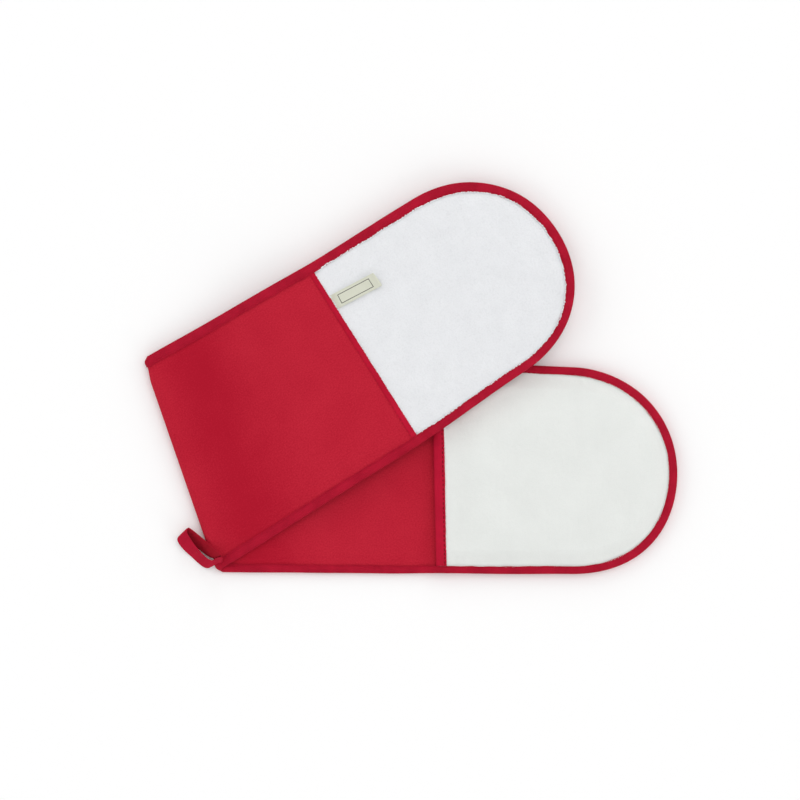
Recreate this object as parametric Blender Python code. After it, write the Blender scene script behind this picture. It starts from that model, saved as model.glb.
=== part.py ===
"""A double oven glove, folded in half as it lies on a table.

One padded strip of cloth with a round mitt at each end is folded across its
middle, on a slant. The lower arm lies with its hand pocket up and the upper
arm lies over it with its towelling palm up. Every sheet of cloth is its own
closed solid. The sheets of an arm share one net of points in plan, so they
lie on each other with an even clearance wherever the arm bends or swells.

Metres, +Z up. The origin is at the middle of the glove's plan, on the table.
"""

import math

import bmesh
import bpy
from mathutils import Vector

# Plan of the strip
MITT_WIDTH = 0.190
FOLD_EDGE_LENGTH = 0.204
LOWER_ARM_LENGTH = 0.4494
UPPER_ARM_LENGTH = 0.4024
POCKET_LENGTH = 0.2207
PALM_LENGTH = 0.2097
HEM_SETTLE_LENGTH = 0.008
MOUTH_APPROACH_LENGTH = 0.014

# How the two arms lie, as headings from +X
FOLD_LINE_DEG = 109.1
LOWER_STRIP_DEG = -1.0
LOWER_MITT_DEG = -1.0
LOWER_SEAM_SKEW_DEG = 2.2
UPPER_STRIP_DEG = 30.8
UPPER_MITT_DEG = 33.8
UPPER_SEAM_SKEW_DEG = -1.2
BEND_START = 0.145
BEND_LENGTH = 0.060

# Thickness of each sheet, in the middle and where a seam squeezes it
CLOTH = 0.0006
LINING = 0.0005
PALM = 0.0015
PALM_AT_SEAM = 0.0009
WADDING = 0.0018
WADDING_AT_SEAM = 0.0007
POCKET_LINING = 0.0004
POCKET_WADDING = 0.0009
POCKET_WADDING_AT_SEAM = 0.0004
POCKET_FACE = 0.0012
POCKET_FACE_AT_SEAM = 0.0007
BINDING = 0.0005
GAP = 0.0003

# Widths that the sheets and bindings keep along their edges
BINDING_WIDTH = 0.0080
MOUTH_BINDING_WIDTH = 0.0087
SOFT_EDGE_WIDTH = 0.022
SHOULDER_WIDTH = 0.048
CROWN_REACH = 0.060

# Hand space in each mitt, and how the arms press and drape on each other
HAND_CROWN = 0.0052
PRESS_MARGIN = 0.005
PRESS_REACH = 0.030
UPPER_LIFT = 0.0104
LIFT_START = 0.015
LIFT_REACH = 0.140
RIM_DROP = 0.0050
RIM_DROP_START = 0.120
RIM_DROP_REACH = 0.080
RIM_CURVE_POWER = 1.5
FREE_SIDE_START_SHARE = -0.6
FREE_SIDE_REACH_SHARE = 0.8
TIP_DROOP = 0.0030

# Sewing thread, laid on the cloth as a bead
THREAD_WIDTH = 0.0007
THREAD_HEIGHT = 0.0003
EDGE_SEAM_INSET = 0.0066
MOUTH_SEAM_INSET = 0.0070
PALM_SEAM_INSET = 0.0016
THREAD_END_INSET = 0.0020

# Hanging loop of folded tape at the fold's bottom corner, as distances from that corner
LOOP_LENGTH = 0.0560
LOOP_WIDTH = 0.0175
LOOP_SPREAD_SHARE = 0.65
LOOP_TAPE_WIDTH = 0.0125
LOOP_TAPE = 0.0012
LOOP_DEG = 136.4
LOOP_RISE_DEG = 17.6
LOOP_NEAR_TILT_DEG = 25.0
LOOP_FAR_TILT_DEG = 55.0
LOOP_NEAR_START_DEG = 62.0
LOOP_FAR_END_DEG = 278.0
LOOP_FULL_START_DEG = 34.0
LOOP_NEAR_PULL = 0.0040
LOOP_NEAR_DROP = 0.0050
LOOP_PULL_REACH_DEG = 50.0
LOOP_ROOT_DOWN = 0.0041
LOOP_ROOT_IN = 0.0046
LOOP_ROOT_HEIGHT = 0.0044
LOOP_PIVOT_DOWN = 0.0045
LOOP_PIVOT_OUT = 0.0030

# Folded tape label at the upper arm's palm seam
LABEL_LENGTH = 0.045
LABEL_WIDTH = 0.014
LABEL = 0.0008
LABEL_FROM_MIDDLE = 0.0556
LABEL_FROM_HEM = 0.0022
LABEL_LIFT = 0.0007
LABEL_TURN_DEG = -7.0
LABEL_RISE_DEG = 1.2

# Counts
STRIP_STATION_SHARES = (0.0, 0.14, 0.34, 0.56, 0.78)
MITT_STATION_SHARES = (0.70, 0.35)
TIP_STEPS = 12
FOLD_STEPS = 6
LOOP_STEPS = 20
SPINE_STEPS = 40

# Colours and finish
RED = (0.468, 0.014, 0.031, 1.0)
BRIGHT_RED = (0.510, 0.014, 0.036, 1.0)
DARK_RED = (0.456, 0.013, 0.036, 1.0)
WHITE = (0.79, 0.80, 0.80, 1.0)
WARM_WHITE = (0.78, 0.80, 0.78, 1.0)
WADDING_WHITE = (0.85, 0.84, 0.80, 1.0)
CREAM = (0.72, 0.73, 0.60, 1.0)
CENTRE_CLOTH = (RED, 0.8)
BINDING_TAPE = (BRIGHT_RED, 0.75)
LOOP_CLOTH = (BRIGHT_RED, 0.7)
THREAD = (DARK_RED, 0.6)
TOWELLING = (WHITE, 0.95)
POCKET_CLOTH = (WARM_WHITE, 0.95)
POCKET_LINING_CLOTH = (WARM_WHITE, 0.9)
WADDING_FLEECE = (WADDING_WHITE, 0.95)
LABEL_TAPE = (CREAM, 0.85)
SHARP_EDGE_DEG = 35.0

# Sizes that follow from those above
HALF_MITT = MITT_WIDTH / 2
BINDING_STAND = BINDING + GAP
STRIP_HEIGHT = BINDING_STAND + CLOTH + GAP + WADDING_AT_SEAM + GAP + LINING + BINDING_STAND
FOLD_AXIS_HEIGHT = STRIP_HEIGHT + GAP + THREAD_HEIGHT
LANES = (0.0, BINDING_WIDTH, SOFT_EDGE_WIDTH, SHOULDER_WIDTH, None)
FOLD_LINE = Vector((math.cos(math.radians(FOLD_LINE_DEG)), math.sin(math.radians(FOLD_LINE_DEG)), 0))
FOLD_OUTWARD = Vector((-FOLD_LINE.y, FOLD_LINE.x, 0))
UP = Vector((0, 0, 1))


def heading_vector(angle):
    return Vector((math.cos(angle), math.sin(angle), 0))


def smooth(share):
    share = min(max(share, 0.0), 1.0)
    return share * share * (3 - 2 * share)


def mix(low, high, share):
    return low + (high - low) * share


class Arm:
    """One half of the strip: its plan, and the heights of the sheets at any place."""

    def __init__(self, name, length, strip_deg, mitt_deg, seam_skew_deg, upper):
        self.name = name
        self.length = length
        self.strip_heading = math.radians(strip_deg)
        self.mitt_heading = math.radians(mitt_deg)
        self.upper = upper
        fold_turn = math.radians(FOLD_LINE_DEG - 90 - strip_deg)
        self.fold_skew = -math.tan(fold_turn)
        self.seam_skew = -math.tan(math.radians(seam_skew_deg))
        self.fold_half_width = FOLD_EDGE_LENGTH / 2 * math.cos(fold_turn)
        self.mouth = length - POCKET_LENGTH
        self.mouth_binding_end = self.mouth + MOUTH_BINDING_WIDTH
        self.seam = length - PALM_LENGTH
        self.hem_settled = self.seam + HEM_SETTLE_LENGTH
        self.centre = length - HALF_MITT
        self.stations = self.station_list()
        self.other = None

    def station_list(self):
        strip_end = self.mouth - MOUTH_APPROACH_LENGTH
        strip = [mix(GAP / 2, strip_end, share) for share in STRIP_STATION_SHARES] + [strip_end]
        seams = [self.mouth, self.mouth_binding_end, self.seam, self.hem_settled]
        mitt = [mix(self.centre, self.hem_settled, share) for share in MITT_STATION_SHARES]
        return sorted(strip + seams + mitt + [self.centre])

    def heading(self, s):
        return mix(self.strip_heading, self.mitt_heading, smooth((s - BEND_START) / BEND_LENGTH))

    def half_width(self, s):
        return mix(self.fold_half_width, HALF_MITT, smooth(s / self.centre))

    def skew(self, s):
        to_seam = mix(self.fold_skew, self.seam_skew, smooth(s / self.seam))
        to_tip = smooth((s - self.seam) / (self.centre - self.seam))
        return mix(to_seam, 0.0, to_tip)

    def spine(self, s):
        point = Vector((0, 0, 0))
        for step in range(SPINE_STEPS):
            point += heading_vector(self.heading((step + 0.5) / SPINE_STEPS * s)) * (s / SPINE_STEPS)
        return point

    def plan(self, s, across):
        """The point at this distance along the spine and this far across it."""
        along = heading_vector(self.heading(s))
        aside = heading_vector(self.heading(s) + math.pi / 2)
        return self.spine(s) + aside * across + along * (self.skew(s) * across)

    def measure(self, point):
        """How far along and across the arm a point of the plan lies, near the mitt."""
        offset = point - self.spine(self.mouth)
        along = heading_vector(self.mitt_heading)
        aside = heading_vector(self.mitt_heading + math.pi / 2)
        return self.mouth + offset.dot(along), offset.dot(aside)


class Rib:
    """A line from the arm's outline in to its spine, or to the pole of its round end."""

    def __init__(self, arm, index, station, side, turn):
        self.arm = arm
        self.index = index
        self.station = station
        self.side = side
        self.turn = turn
        self.s = arm.stations[station]

    def depth(self, lane):
        if LANES[lane] is None:
            return self.reach()
        return LANES[lane]

    def reach(self):
        return HALF_MITT if self.turn is not None else self.arm.half_width(self.s)

    def plan(self, depth):
        if self.turn is None:
            return self.arm.plan(self.s, self.side * (self.reach() - depth))
        pole = self.arm.spine(self.arm.centre)
        out = heading_vector(self.arm.mitt_heading + self.turn)
        return pole + out * (HALF_MITT - depth)

    def along(self, depth):
        """Distance from the fold, also for the points of the round end."""
        if self.turn is None:
            return self.s
        return self.arm.centre + (HALF_MITT - depth) * math.cos(self.turn)

    def across_share(self, depth):
        if self.turn is None:
            return self.side * (self.reach() - depth) / self.reach()
        return (HALF_MITT - depth) / HALF_MITT * math.sin(self.turn)

    def key(self, lane):
        if LANES[lane] is None:
            return ("spine", self.station)
        return (self.index, lane)


def ribs_of(arm):
    """All ribs in order: out along the left side, round the end and back along the right side."""
    last = len(arm.stations) - 1
    ribs = [Rib(arm, i, i, 1, None) for i in range(last + 1)]
    for step in range(1, TIP_STEPS):
        turn = math.pi / 2 - math.pi * step / TIP_STEPS
        ribs.append(Rib(arm, len(ribs), last, 0, turn))
    for i in range(last, -1, -1):
        ribs.append(Rib(arm, len(ribs), i, -1, None))
    return ribs


def on_lanes(rib, depth, value):
    """A value at any depth, straight between the lanes of the net as the sheets are."""
    depths = [rib.depth(lane) for lane in range(len(LANES))]
    depth = min(max(depth, depths[0]), depths[-1])
    for near, far in zip(depths, depths[1:]):
        if depth <= far:
            return mix(value(rib, near), value(rib, far), (depth - near) / (far - near))


def swelling(rib, depth):
    """0 where the edge binding squeezes the sheets, and 1 where they are at their full thickness."""
    return smooth((depth - BINDING_WIDTH) / (SOFT_EDGE_WIDTH - BINDING_WIDTH))


def press(arm, point):
    """0 where the other arm lies on the mitt or under it, and 1 well clear of it."""
    along, across = arm.other.measure(point)
    if arm.upper:
        clear = max(arm.other.mouth - along, across - HALF_MITT)
    else:
        clear = -across - HALF_MITT
    return smooth((clear - PRESS_MARGIN) / PRESS_REACH)


def hand_space(rib, depth):
    arm = rib.arm
    arch = math.sin(min(depth / CROWN_REACH, 1.0) * math.pi / 2)
    at_mouth = rib.turn is None and rib.s <= arm.mouth_binding_end
    place = rib_at(rib, arm.mouth_binding_end) if at_mouth else rib
    space = GAP + HAND_CROWN * arch * press(arm, place.plan(depth))
    if at_mouth and depth >= BINDING_WIDTH:
        space = max(space, BINDING + 2 * GAP)
    return space


def sheets_at(rib, depth):
    """Each sheet's lower and upper height here, measured inwards from the arm's outer face."""
    arm = rib.arm
    swell = on_lanes(rib, depth, swelling)
    in_mitt = rib.turn is not None or rib.s >= arm.mouth
    outside_hem = rib.turn is None and rib.s <= arm.seam
    free = SOFT_EDGE_WIDTH - BINDING_WIDTH
    height = BINDING_STAND * min(max((SOFT_EDGE_WIDTH - depth) / free, 0.0), 1.0)
    sheets = {}

    def lay(name, thickness):
        nonlocal height
        sheets[name] = (height, height + thickness)
        height += thickness + GAP

    wadding = mix(WADDING_AT_SEAM, WADDING, swell)
    if outside_hem:
        lay("back_cloth", CLOTH)
    if in_mitt:
        lay("palm_towelling", mix(PALM_AT_SEAM, PALM, swell))
    if outside_hem and in_mitt:
        wadding = max(wadding - CLOTH - GAP, WADDING_AT_SEAM)
    lay("wadding", wadding)
    lay("lining_cloth", LINING)
    if in_mitt:
        height += on_lanes(rib, depth, hand_space) - GAP
        lay("pocket_lining", POCKET_LINING)
        lay("pocket_wadding", mix(POCKET_WADDING_AT_SEAM, POCKET_WADDING, swell))
        lay("pocket_face", mix(POCKET_FACE_AT_SEAM, POCKET_FACE, swell))
    return sheets


def stack_ends(rib, depth):
    """The heights of the outer and the inner face of all the sheets together."""
    spans = list(sheets_at(rib, depth).values())
    return spans[0][0], spans[-1][1]


def back_height(rib, depth):
    """Height of the upper arm's outer face above the table, where it lies over the lower arm."""
    arm = rib.arm
    s = rib.along(depth)
    height = 2 * FOLD_AXIS_HEIGHT + UPPER_LIFT * smooth((s - LIFT_START) / LIFT_REACH)
    free_side = smooth((rib.across_share(depth) - FREE_SIDE_START_SHARE) / FREE_SIDE_REACH_SHARE)
    rim = max(1 - depth / SHOULDER_WIDTH, 0.0) ** RIM_CURVE_POWER
    height -= RIM_DROP * rim * free_side * smooth((s - RIM_DROP_START) / RIM_DROP_REACH)
    height -= TIP_DROOP * smooth((s - arm.centre) / HALF_MITT)
    return height


def to_world(rib, depth, height):
    """The point over this place whose height is measured inwards from the outer face."""
    point = rib.plan(depth)
    point.z = height
    if rib.arm.upper:
        point.z = on_lanes(rib, depth, back_height) - height
    return point


def material(name, colour, roughness):
    made = bpy.data.materials.new(name)
    made.use_nodes = True
    shader = made.node_tree.nodes["Principled BSDF"]
    shader.inputs["Base Color"].default_value = colour
    shader.inputs["Roughness"].default_value = roughness
    shader.inputs["Metallic"].default_value = 0.0
    made.diffuse_color = colour
    return made


def add_object(name, points, faces, finish, origin=Vector((0, 0, 0))):
    """A closed body from points and faces, with its faces turned out and its origin here."""
    shape = bmesh.new()
    corners = [shape.verts.new(point - origin) for point in points]
    for face in faces:
        shape.faces.new([corners[i] for i in face])
    bmesh.ops.recalc_face_normals(shape, faces=shape.faces)
    if shape.calc_volume(signed=True) < 0:
        bmesh.ops.reverse_faces(shape, faces=shape.faces)
    mesh = bpy.data.meshes.new(name)
    shape.to_mesh(mesh)
    shape.free()
    mesh.shade_smooth()
    mesh.set_sharp_from_angle(angle=math.radians(SHARP_EDGE_DEG))
    mesh.materials.append(material(name, *finish))
    made = bpy.data.objects.new(name, mesh)
    made.location = origin
    bpy.context.scene.collection.objects.link(made)
    return made


def net_triangles(ribs, first, last):
    """Triangles of the shared net between two stations, as (rib, lane) corners."""
    triangles = []
    for one, two in zip(ribs, ribs[1:]):
        crosses_gap = one.side != two.side and one.turn is None and two.turn is None
        if crosses_gap or min(one.station, two.station) < first or max(one.station, two.station) > last:
            continue
        for lane in range(len(LANES) - 1):
            a, b = (one, lane), (two, lane)
            c, d = (two, lane + 1), (one, lane + 1)
            if c[0].key(c[1]) == d[0].key(d[1]):
                triangles.append((a, b, c))
            elif one.side < 0 or two.side < 0:
                triangles += [(a, b, d), (b, c, d)]
            else:
                triangles += [(a, b, c), (a, c, d)]
    return triangles


def sheet_solid(arm, ribs, sheet, first, last, finish):
    """One sheet of cloth or wadding as a closed solid over the net between two stations."""
    triangles = net_triangles(ribs, first, last)
    order = {}
    points = []
    for triangle in triangles:
        for rib, lane in triangle:
            key = rib.key(lane)
            if key not in order:
                order[key] = len(order)
                depth = rib.depth(lane)
                low, high = sheets_at(rib, depth)[sheet]
                points += [to_world(rib, depth, low), to_world(rib, depth, high)]
    faces = []
    sides = {}
    for triangle in triangles:
        corners = [order[rib.key(lane)] for rib, lane in triangle]
        faces.append([2 * i + 1 for i in corners])
        faces.append([2 * i for i in reversed(corners)])
        for start, end in zip(corners, corners[1:] + corners[:1]):
            if (end, start) in sides:
                del sides[(end, start)]
            else:
                sides[(start, end)] = True
    for start, end in sides:
        low_start, low_end = 2 * start, 2 * end
        faces.append([low_start, low_end, low_end + 1])
        faces.append([low_start, low_end + 1, low_start + 1])
    return add_object(f"{arm.name}_{sheet}", points, faces, finish)


def sweep(name, rings, finish, cap=None, other_diagonal=None):
    """A closed solid through rings of points, with the end faces split as cap says."""
    count = len(rings[0])
    points = [point for ring in rings for point in ring]
    faces = []
    for r in range(len(rings) - 1):
        for i in range(count):
            a = r * count + i
            b = r * count + (i + 1) % count
            if other_diagonal and other_diagonal(r, i):
                faces += [(a, b, a + count), (b, b + count, a + count)]
            else:
                faces += [(a, b, b + count), (a, b + count, a + count)]
    cap = cap or [(0, i, i + 1) for i in range(1, count - 1)]
    end = (len(rings) - 1) * count
    faces += [tuple(face) for face in cap]
    faces += [tuple(end + i for i in reversed(face)) for face in cap]
    return name, points, faces, finish


# A binding's ring has four points inside the fold of the tape and six outside it
BINDING_CAP = ((0, 1, 8), (0, 8, 9), (1, 7, 8), (1, 2, 7), (2, 6, 7), (2, 5, 6), (2, 3, 5), (3, 4, 5))


def tape_profile(reach, low_far, low_near, high_near, high_far):
    """A tape folded over an edge: pairs of the distance in from the edge and the height."""
    out = GAP + BINDING
    return (
        (reach, low_far - GAP),
        (-GAP, low_near - GAP),
        (-GAP, high_near + GAP),
        (reach, high_far + GAP),
        (reach, high_far + out),
        (0.0, high_near + out),
        (-out, high_near),
        (-out, low_near),
        (0.0, low_near - out),
        (reach, low_far - out),
    )


def edge_profile(rib):
    low_near, high_near = stack_ends(rib, 0.0)
    low_far, high_far = stack_ends(rib, BINDING_WIDTH)
    return tape_profile(BINDING_WIDTH, low_far, low_near, high_near, high_far)


def edge_binding(arm, ribs):
    """The tape round the arm's outline, whose inner faces split as the sheets beside them do."""

    def other_diagonal(r, i):
        right_side = ribs[r].side < 0 or ribs[r + 1].side < 0
        return (i == 0 and not right_side) or (i == 2 and right_side)

    rings = [[to_world(rib, depth, height) for depth, height in edge_profile(rib)] for rib in ribs]
    name = f"{arm.name}_edge_binding"
    add_object(*sweep(name, rings, BINDING_TAPE, BINDING_CAP, other_diagonal))


def cross_places(arm, ribs, inset):
    """Places from side to side over the pocket, between the two edge bindings."""
    station = arm.stations.index(arm.mouth)
    left = ribs[station]
    right = ribs[len(ribs) - 1 - station]
    depths = [BINDING_WIDTH + inset] + [LANES[lane] for lane in range(2, len(LANES) - 1)]
    places = [(left, depth) for depth in depths]
    places.append((left, left.reach()))
    return places + [(right, depth) for depth in reversed(depths)]


def rib_at(rib, s):
    """The rib on the same side at another distance along the arm."""
    made = Rib(rib.arm, rib.index, rib.station, rib.side, None)
    made.s = s
    return made


def mouth_profile(rib, depth):
    """The mouth binding's ring where it crosses this place."""
    arm = rib.arm
    far = rib_at(rib, arm.mouth_binding_end)
    near_sheets = sheets_at(rib, depth)
    far_sheets = sheets_at(far, depth)
    profile = tape_profile(
        MOUTH_BINDING_WIDTH,
        far_sheets["pocket_lining"][0],
        near_sheets["pocket_lining"][0],
        near_sheets["pocket_face"][1],
        far_sheets["pocket_face"][1],
    )
    ring = []
    for reach, height in profile:
        ring.append(to_world(rib_at(rib, arm.mouth + reach), depth, height))
    return ring


def mouth_binding(arm, ribs):
    rings = [mouth_profile(rib, depth) for rib, depth in cross_places(arm, ribs, GAP)]
    add_object(*sweep(f"{arm.name}_mouth_binding", rings, BINDING_TAPE, BINDING_CAP))


def edge_thread(arm, ribs):
    """The row that closes the edge binding, on the face of it that shows."""
    rings = []
    for rib in ribs:
        low_near, high_near = stack_ends(rib, 0.0)
        low_far, high_far = stack_ends(rib, BINDING_WIDTH)
        ring = []
        for offset, rise in thread_section():
            depth = EDGE_SEAM_INSET + offset
            share = depth / BINDING_WIDTH
            if arm.upper:
                height = mix(low_near, low_far, share) - BINDING_STAND - rise
            else:
                height = mix(high_near, high_far, share) + BINDING_STAND + rise
            ring.append(to_world(rib, depth, height))
        rings.append(ring)
    add_object(*sweep(f"{arm.name}_edge_thread", rings, THREAD))


def thread_section():
    """The four corners of a thread laid as a bead: how far aside, and how high over the cloth."""
    half = THREAD_WIDTH / 2
    return ((-half, GAP), (half, GAP), (half, GAP + THREAD_HEIGHT), (-half, GAP + THREAD_HEIGHT))


def mouth_thread(arm, ribs):
    """The row that closes the binding of the pocket's mouth."""
    rings = []
    for rib, depth in cross_places(arm, ribs, THREAD_END_INSET):
        far = sheets_at(rib_at(rib, arm.mouth_binding_end), depth)["pocket_face"][1]
        near = sheets_at(rib, depth)["pocket_face"][1]
        ring = []
        for offset, rise in thread_section():
            reach = MOUTH_SEAM_INSET + offset
            height = mix(near, far, reach / MOUTH_BINDING_WIDTH) + BINDING_STAND + rise
            ring.append(to_world(rib_at(rib, arm.mouth + reach), depth, height))
        rings.append(ring)
    add_object(*sweep(f"{arm.name}_mouth_thread", rings, THREAD))


def palm_thread(arm, ribs):
    """The row that sews the red hem down over the palm towelling, on the arm that shows it."""
    rings = []
    for rib, depth in cross_places(arm, ribs, THREAD_END_INSET):
        ring = []
        for offset, rise in thread_section():
            place = rib_at(rib, arm.seam - PALM_SEAM_INSET + offset)
            height = sheets_at(place, depth)["back_cloth"][0] - rise
            ring.append(to_world(place, depth, height))
        rings.append(ring)
    add_object(*sweep(f"{arm.name}_palm_thread", rings, THREAD))


def build_arm(arm):
    ribs = ribs_of(arm)
    last = len(arm.stations) - 1
    mouth = arm.stations.index(arm.mouth)
    seam = arm.stations.index(arm.seam)
    sheet_solid(arm, ribs, "back_cloth", 0, seam, CENTRE_CLOTH)
    sheet_solid(arm, ribs, "palm_towelling", mouth, last, TOWELLING)
    sheet_solid(arm, ribs, "wadding", 0, last, WADDING_FLEECE)
    sheet_solid(arm, ribs, "lining_cloth", 0, last, CENTRE_CLOTH)
    sheet_solid(arm, ribs, "pocket_lining", mouth, last, POCKET_LINING_CLOTH)
    sheet_solid(arm, ribs, "pocket_wadding", mouth, last, WADDING_FLEECE)
    sheet_solid(arm, ribs, "pocket_face", mouth, last, POCKET_CLOTH)
    edge_binding(arm, ribs)
    mouth_binding(arm, ribs)
    edge_thread(arm, ribs)
    mouth_thread(arm, ribs)
    if arm.upper:
        palm_thread(arm, ribs)


def fold_places(arm, ribs):
    """Places along the fold from its bottom corner to its top corner."""
    right = ribs[-1]
    left = ribs[0]
    lanes = range(len(LANES) - 1)
    places = [(right, LANES[lane]) for lane in lanes]
    places.append((left, left.reach()))
    return places + [(left, LANES[lane]) for lane in reversed(lanes)]


def fold_point(rib, depth, height, step):
    """A point of the roll round the fold: the arm's own point, turned about the fold line."""
    turn = math.pi * step / FOLD_STEPS
    radius = FOLD_AXIS_HEIGHT - height
    point = rib.plan(depth)
    point += FOLD_OUTWARD * (GAP / 2 + radius * math.sin(turn))
    point.z = FOLD_AXIS_HEIGHT - radius * math.cos(turn)
    return point


def fold_roll(arm, ribs, sheet, finish):
    """The stretch of a sheet that rolls round the fold from the lower arm to the upper."""
    rings = []
    for step in range(FOLD_STEPS + 1):
        lower_line = []
        upper_line = []
        for rib, depth in fold_places(arm, ribs):
            low, high = sheets_at(rib, depth)[sheet]
            lower_line.append(fold_point(rib, depth, low, step))
            upper_line.append(fold_point(rib, depth, high, step))
        rings.append(lower_line + upper_line[::-1])
    count = len(rings[0])
    cap = []
    for i in range(count // 2 - 1):
        j = count - 1 - i
        cap += [(i, i + 1, j - 1), (i, j - 1, j)]
    add_object(*sweep(f"fold_{sheet}", rings, finish, cap))


def fold_binding(name, rib):
    """The edge binding's turn round one corner of the fold."""
    rings = []
    for step in range(FOLD_STEPS + 1):
        rings.append([fold_point(rib, depth, height, step) for depth, height in edge_profile(rib)])
    add_object(*sweep(name, rings, BINDING_TAPE, BINDING_CAP))


def fold_corner(arm, ribs):
    """The bottom corner of the fold's outer edge, on the table's plan."""
    return ribs[-1].plan(0.0) + FOLD_OUTWARD * (FOLD_AXIS_HEIGHT + GAP)


def hanging_loop(arm, ribs):
    """A tape bent into a drop shape, standing on its edge and leaning over the table."""
    corner = fold_corner(arm, ribs)
    root = corner - FOLD_LINE * LOOP_ROOT_DOWN - FOLD_OUTWARD * LOOP_ROOT_IN
    root.z = LOOP_ROOT_HEIGHT
    pivot = corner - FOLD_LINE * LOOP_PIVOT_DOWN + FOLD_OUTWARD * LOOP_PIVOT_OUT
    flat_out = heading_vector(math.radians(LOOP_DEG))
    aside = heading_vector(math.radians(LOOP_DEG) - math.pi / 2)
    rise = math.radians(LOOP_RISE_DEG)
    out = flat_out * math.cos(rise) + UP * math.sin(rise)
    over = UP * math.cos(rise) - flat_out * math.sin(rise)
    full_start = math.cos(math.radians(LOOP_FULL_START_DEG))

    def leaning(tilt_deg):
        tilt = math.radians(tilt_deg)
        return aside * math.cos(tilt) + over * math.sin(tilt)

    mean_tilt = math.radians((LOOP_NEAR_TILT_DEG + LOOP_FAR_TILT_DEG) / 2)
    between = over * math.cos(mean_tilt) - aside * math.sin(mean_tilt)

    def turn_at(step):
        return math.radians(mix(LOOP_NEAR_START_DEG, LOOP_FAR_END_DEG, step / LOOP_STEPS))

    def centre_line(step):
        turn = turn_at(step)
        reach = LOOP_LENGTH * (full_start - math.cos(turn)) / (1 + full_start)
        spread = LOOP_WIDTH * LOOP_SPREAD_SHARE * math.sin(turn) * math.sin(turn / 2)
        pulled = max(1 - math.degrees(turn - turn_at(0)) / LOOP_PULL_REACH_DEG, 0.0) ** 2
        pull = FOLD_LINE * (LOOP_NEAR_PULL * pulled) - UP * (LOOP_NEAR_DROP * pulled)
        return root + out * reach + between * spread + pull

    rings = []
    for step in range(LOOP_STEPS + 1):
        point = centre_line(step)
        direction = centre_line(min(step + 1, LOOP_STEPS)) - centre_line(max(step - 1, 0))
        to_far = smooth((turn_at(step) - math.pi / 2) / math.pi)
        tape_way = leaning(mix(LOOP_NEAR_TILT_DEG, LOOP_FAR_TILT_DEG, to_far))
        outer = direction.cross(tape_way).normalized() * (LOOP_TAPE / 2)
        wide = tape_way * (LOOP_TAPE_WIDTH / 2)
        rings.append([point + outer - wide, point + outer + wide, point - outer + wide, point - outer - wide])
    name, points, faces, finish = sweep("hanging_loop", rings, LOOP_CLOTH)
    add_object(name, points, faces, finish, pivot)
    return pivot


def label(arm, ribs):
    """A folded tape caught under the red hem at one end and free at the other."""
    place = rib_at(ribs[0], arm.seam + LABEL_FROM_HEM)
    depth = place.reach() - LABEL_FROM_MIDDLE
    foot = to_world(place, depth, -LABEL_LIFT)
    flat = heading_vector(arm.mitt_heading + math.radians(LABEL_TURN_DEG))
    aside = Vector((-flat.y, flat.x, 0))
    rise = math.radians(LABEL_RISE_DEG)
    along = flat * math.cos(rise) + UP * math.sin(rise)
    up = along.cross(aside)
    half = aside * (LABEL_WIDTH / 2)
    rings = []
    for reach in (0.0, LABEL_LENGTH):
        base = foot + along * reach
        rings.append([base - half, base + half, base + half + up * LABEL, base - half + up * LABEL])
    name, points, faces, finish = sweep("label", rings, LABEL_TAPE)
    add_object(name, points, faces, finish, foot)
    return foot


def centre_on_origin():
    """Moves everything so that the glove's box is centred over the origin."""
    bpy.context.view_layer.update()
    objects = list(bpy.context.scene.objects)
    corners = [obj.matrix_world @ vertex.co for obj in objects for vertex in obj.data.vertices]
    middle = Vector((0, 0, 0))
    for axis in (0, 1):
        values = [corner[axis] for corner in corners]
        middle[axis] = (min(values) + max(values)) / 2
    middle.z = min(corner.z for corner in corners)
    for obj in objects:
        obj.location -= middle
    return middle


def main():
    for obj in list(bpy.data.objects):
        bpy.data.objects.remove(obj)
    lower = Arm("lower", LOWER_ARM_LENGTH, LOWER_STRIP_DEG, LOWER_MITT_DEG, LOWER_SEAM_SKEW_DEG, False)
    upper = Arm("upper", UPPER_ARM_LENGTH, UPPER_STRIP_DEG, UPPER_MITT_DEG, UPPER_SEAM_SKEW_DEG, True)
    lower.other = upper
    upper.other = lower
    build_arm(lower)
    build_arm(upper)
    ribs = ribs_of(lower)
    fold_roll(lower, ribs, "back_cloth", CENTRE_CLOTH)
    fold_roll(lower, ribs, "wadding", WADDING_FLEECE)
    fold_roll(lower, ribs, "lining_cloth", CENTRE_CLOTH)
    fold_binding("fold_top_binding", ribs[0])
    fold_binding("fold_bottom_binding", ribs[-1])
    pivot = hanging_loop(lower, ribs)
    foot = label(upper, ribs_of(upper))
    middle = centre_on_origin()
    fold = Vector((0, 0, FOLD_AXIS_HEIGHT))
    bpy.context.view_layer.update()
    for name, point in (("fold axis", fold), ("loop pivot", pivot), ("label foot", foot)):
        print(name, [round(value, 5) for value in point - middle])


main()
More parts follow.
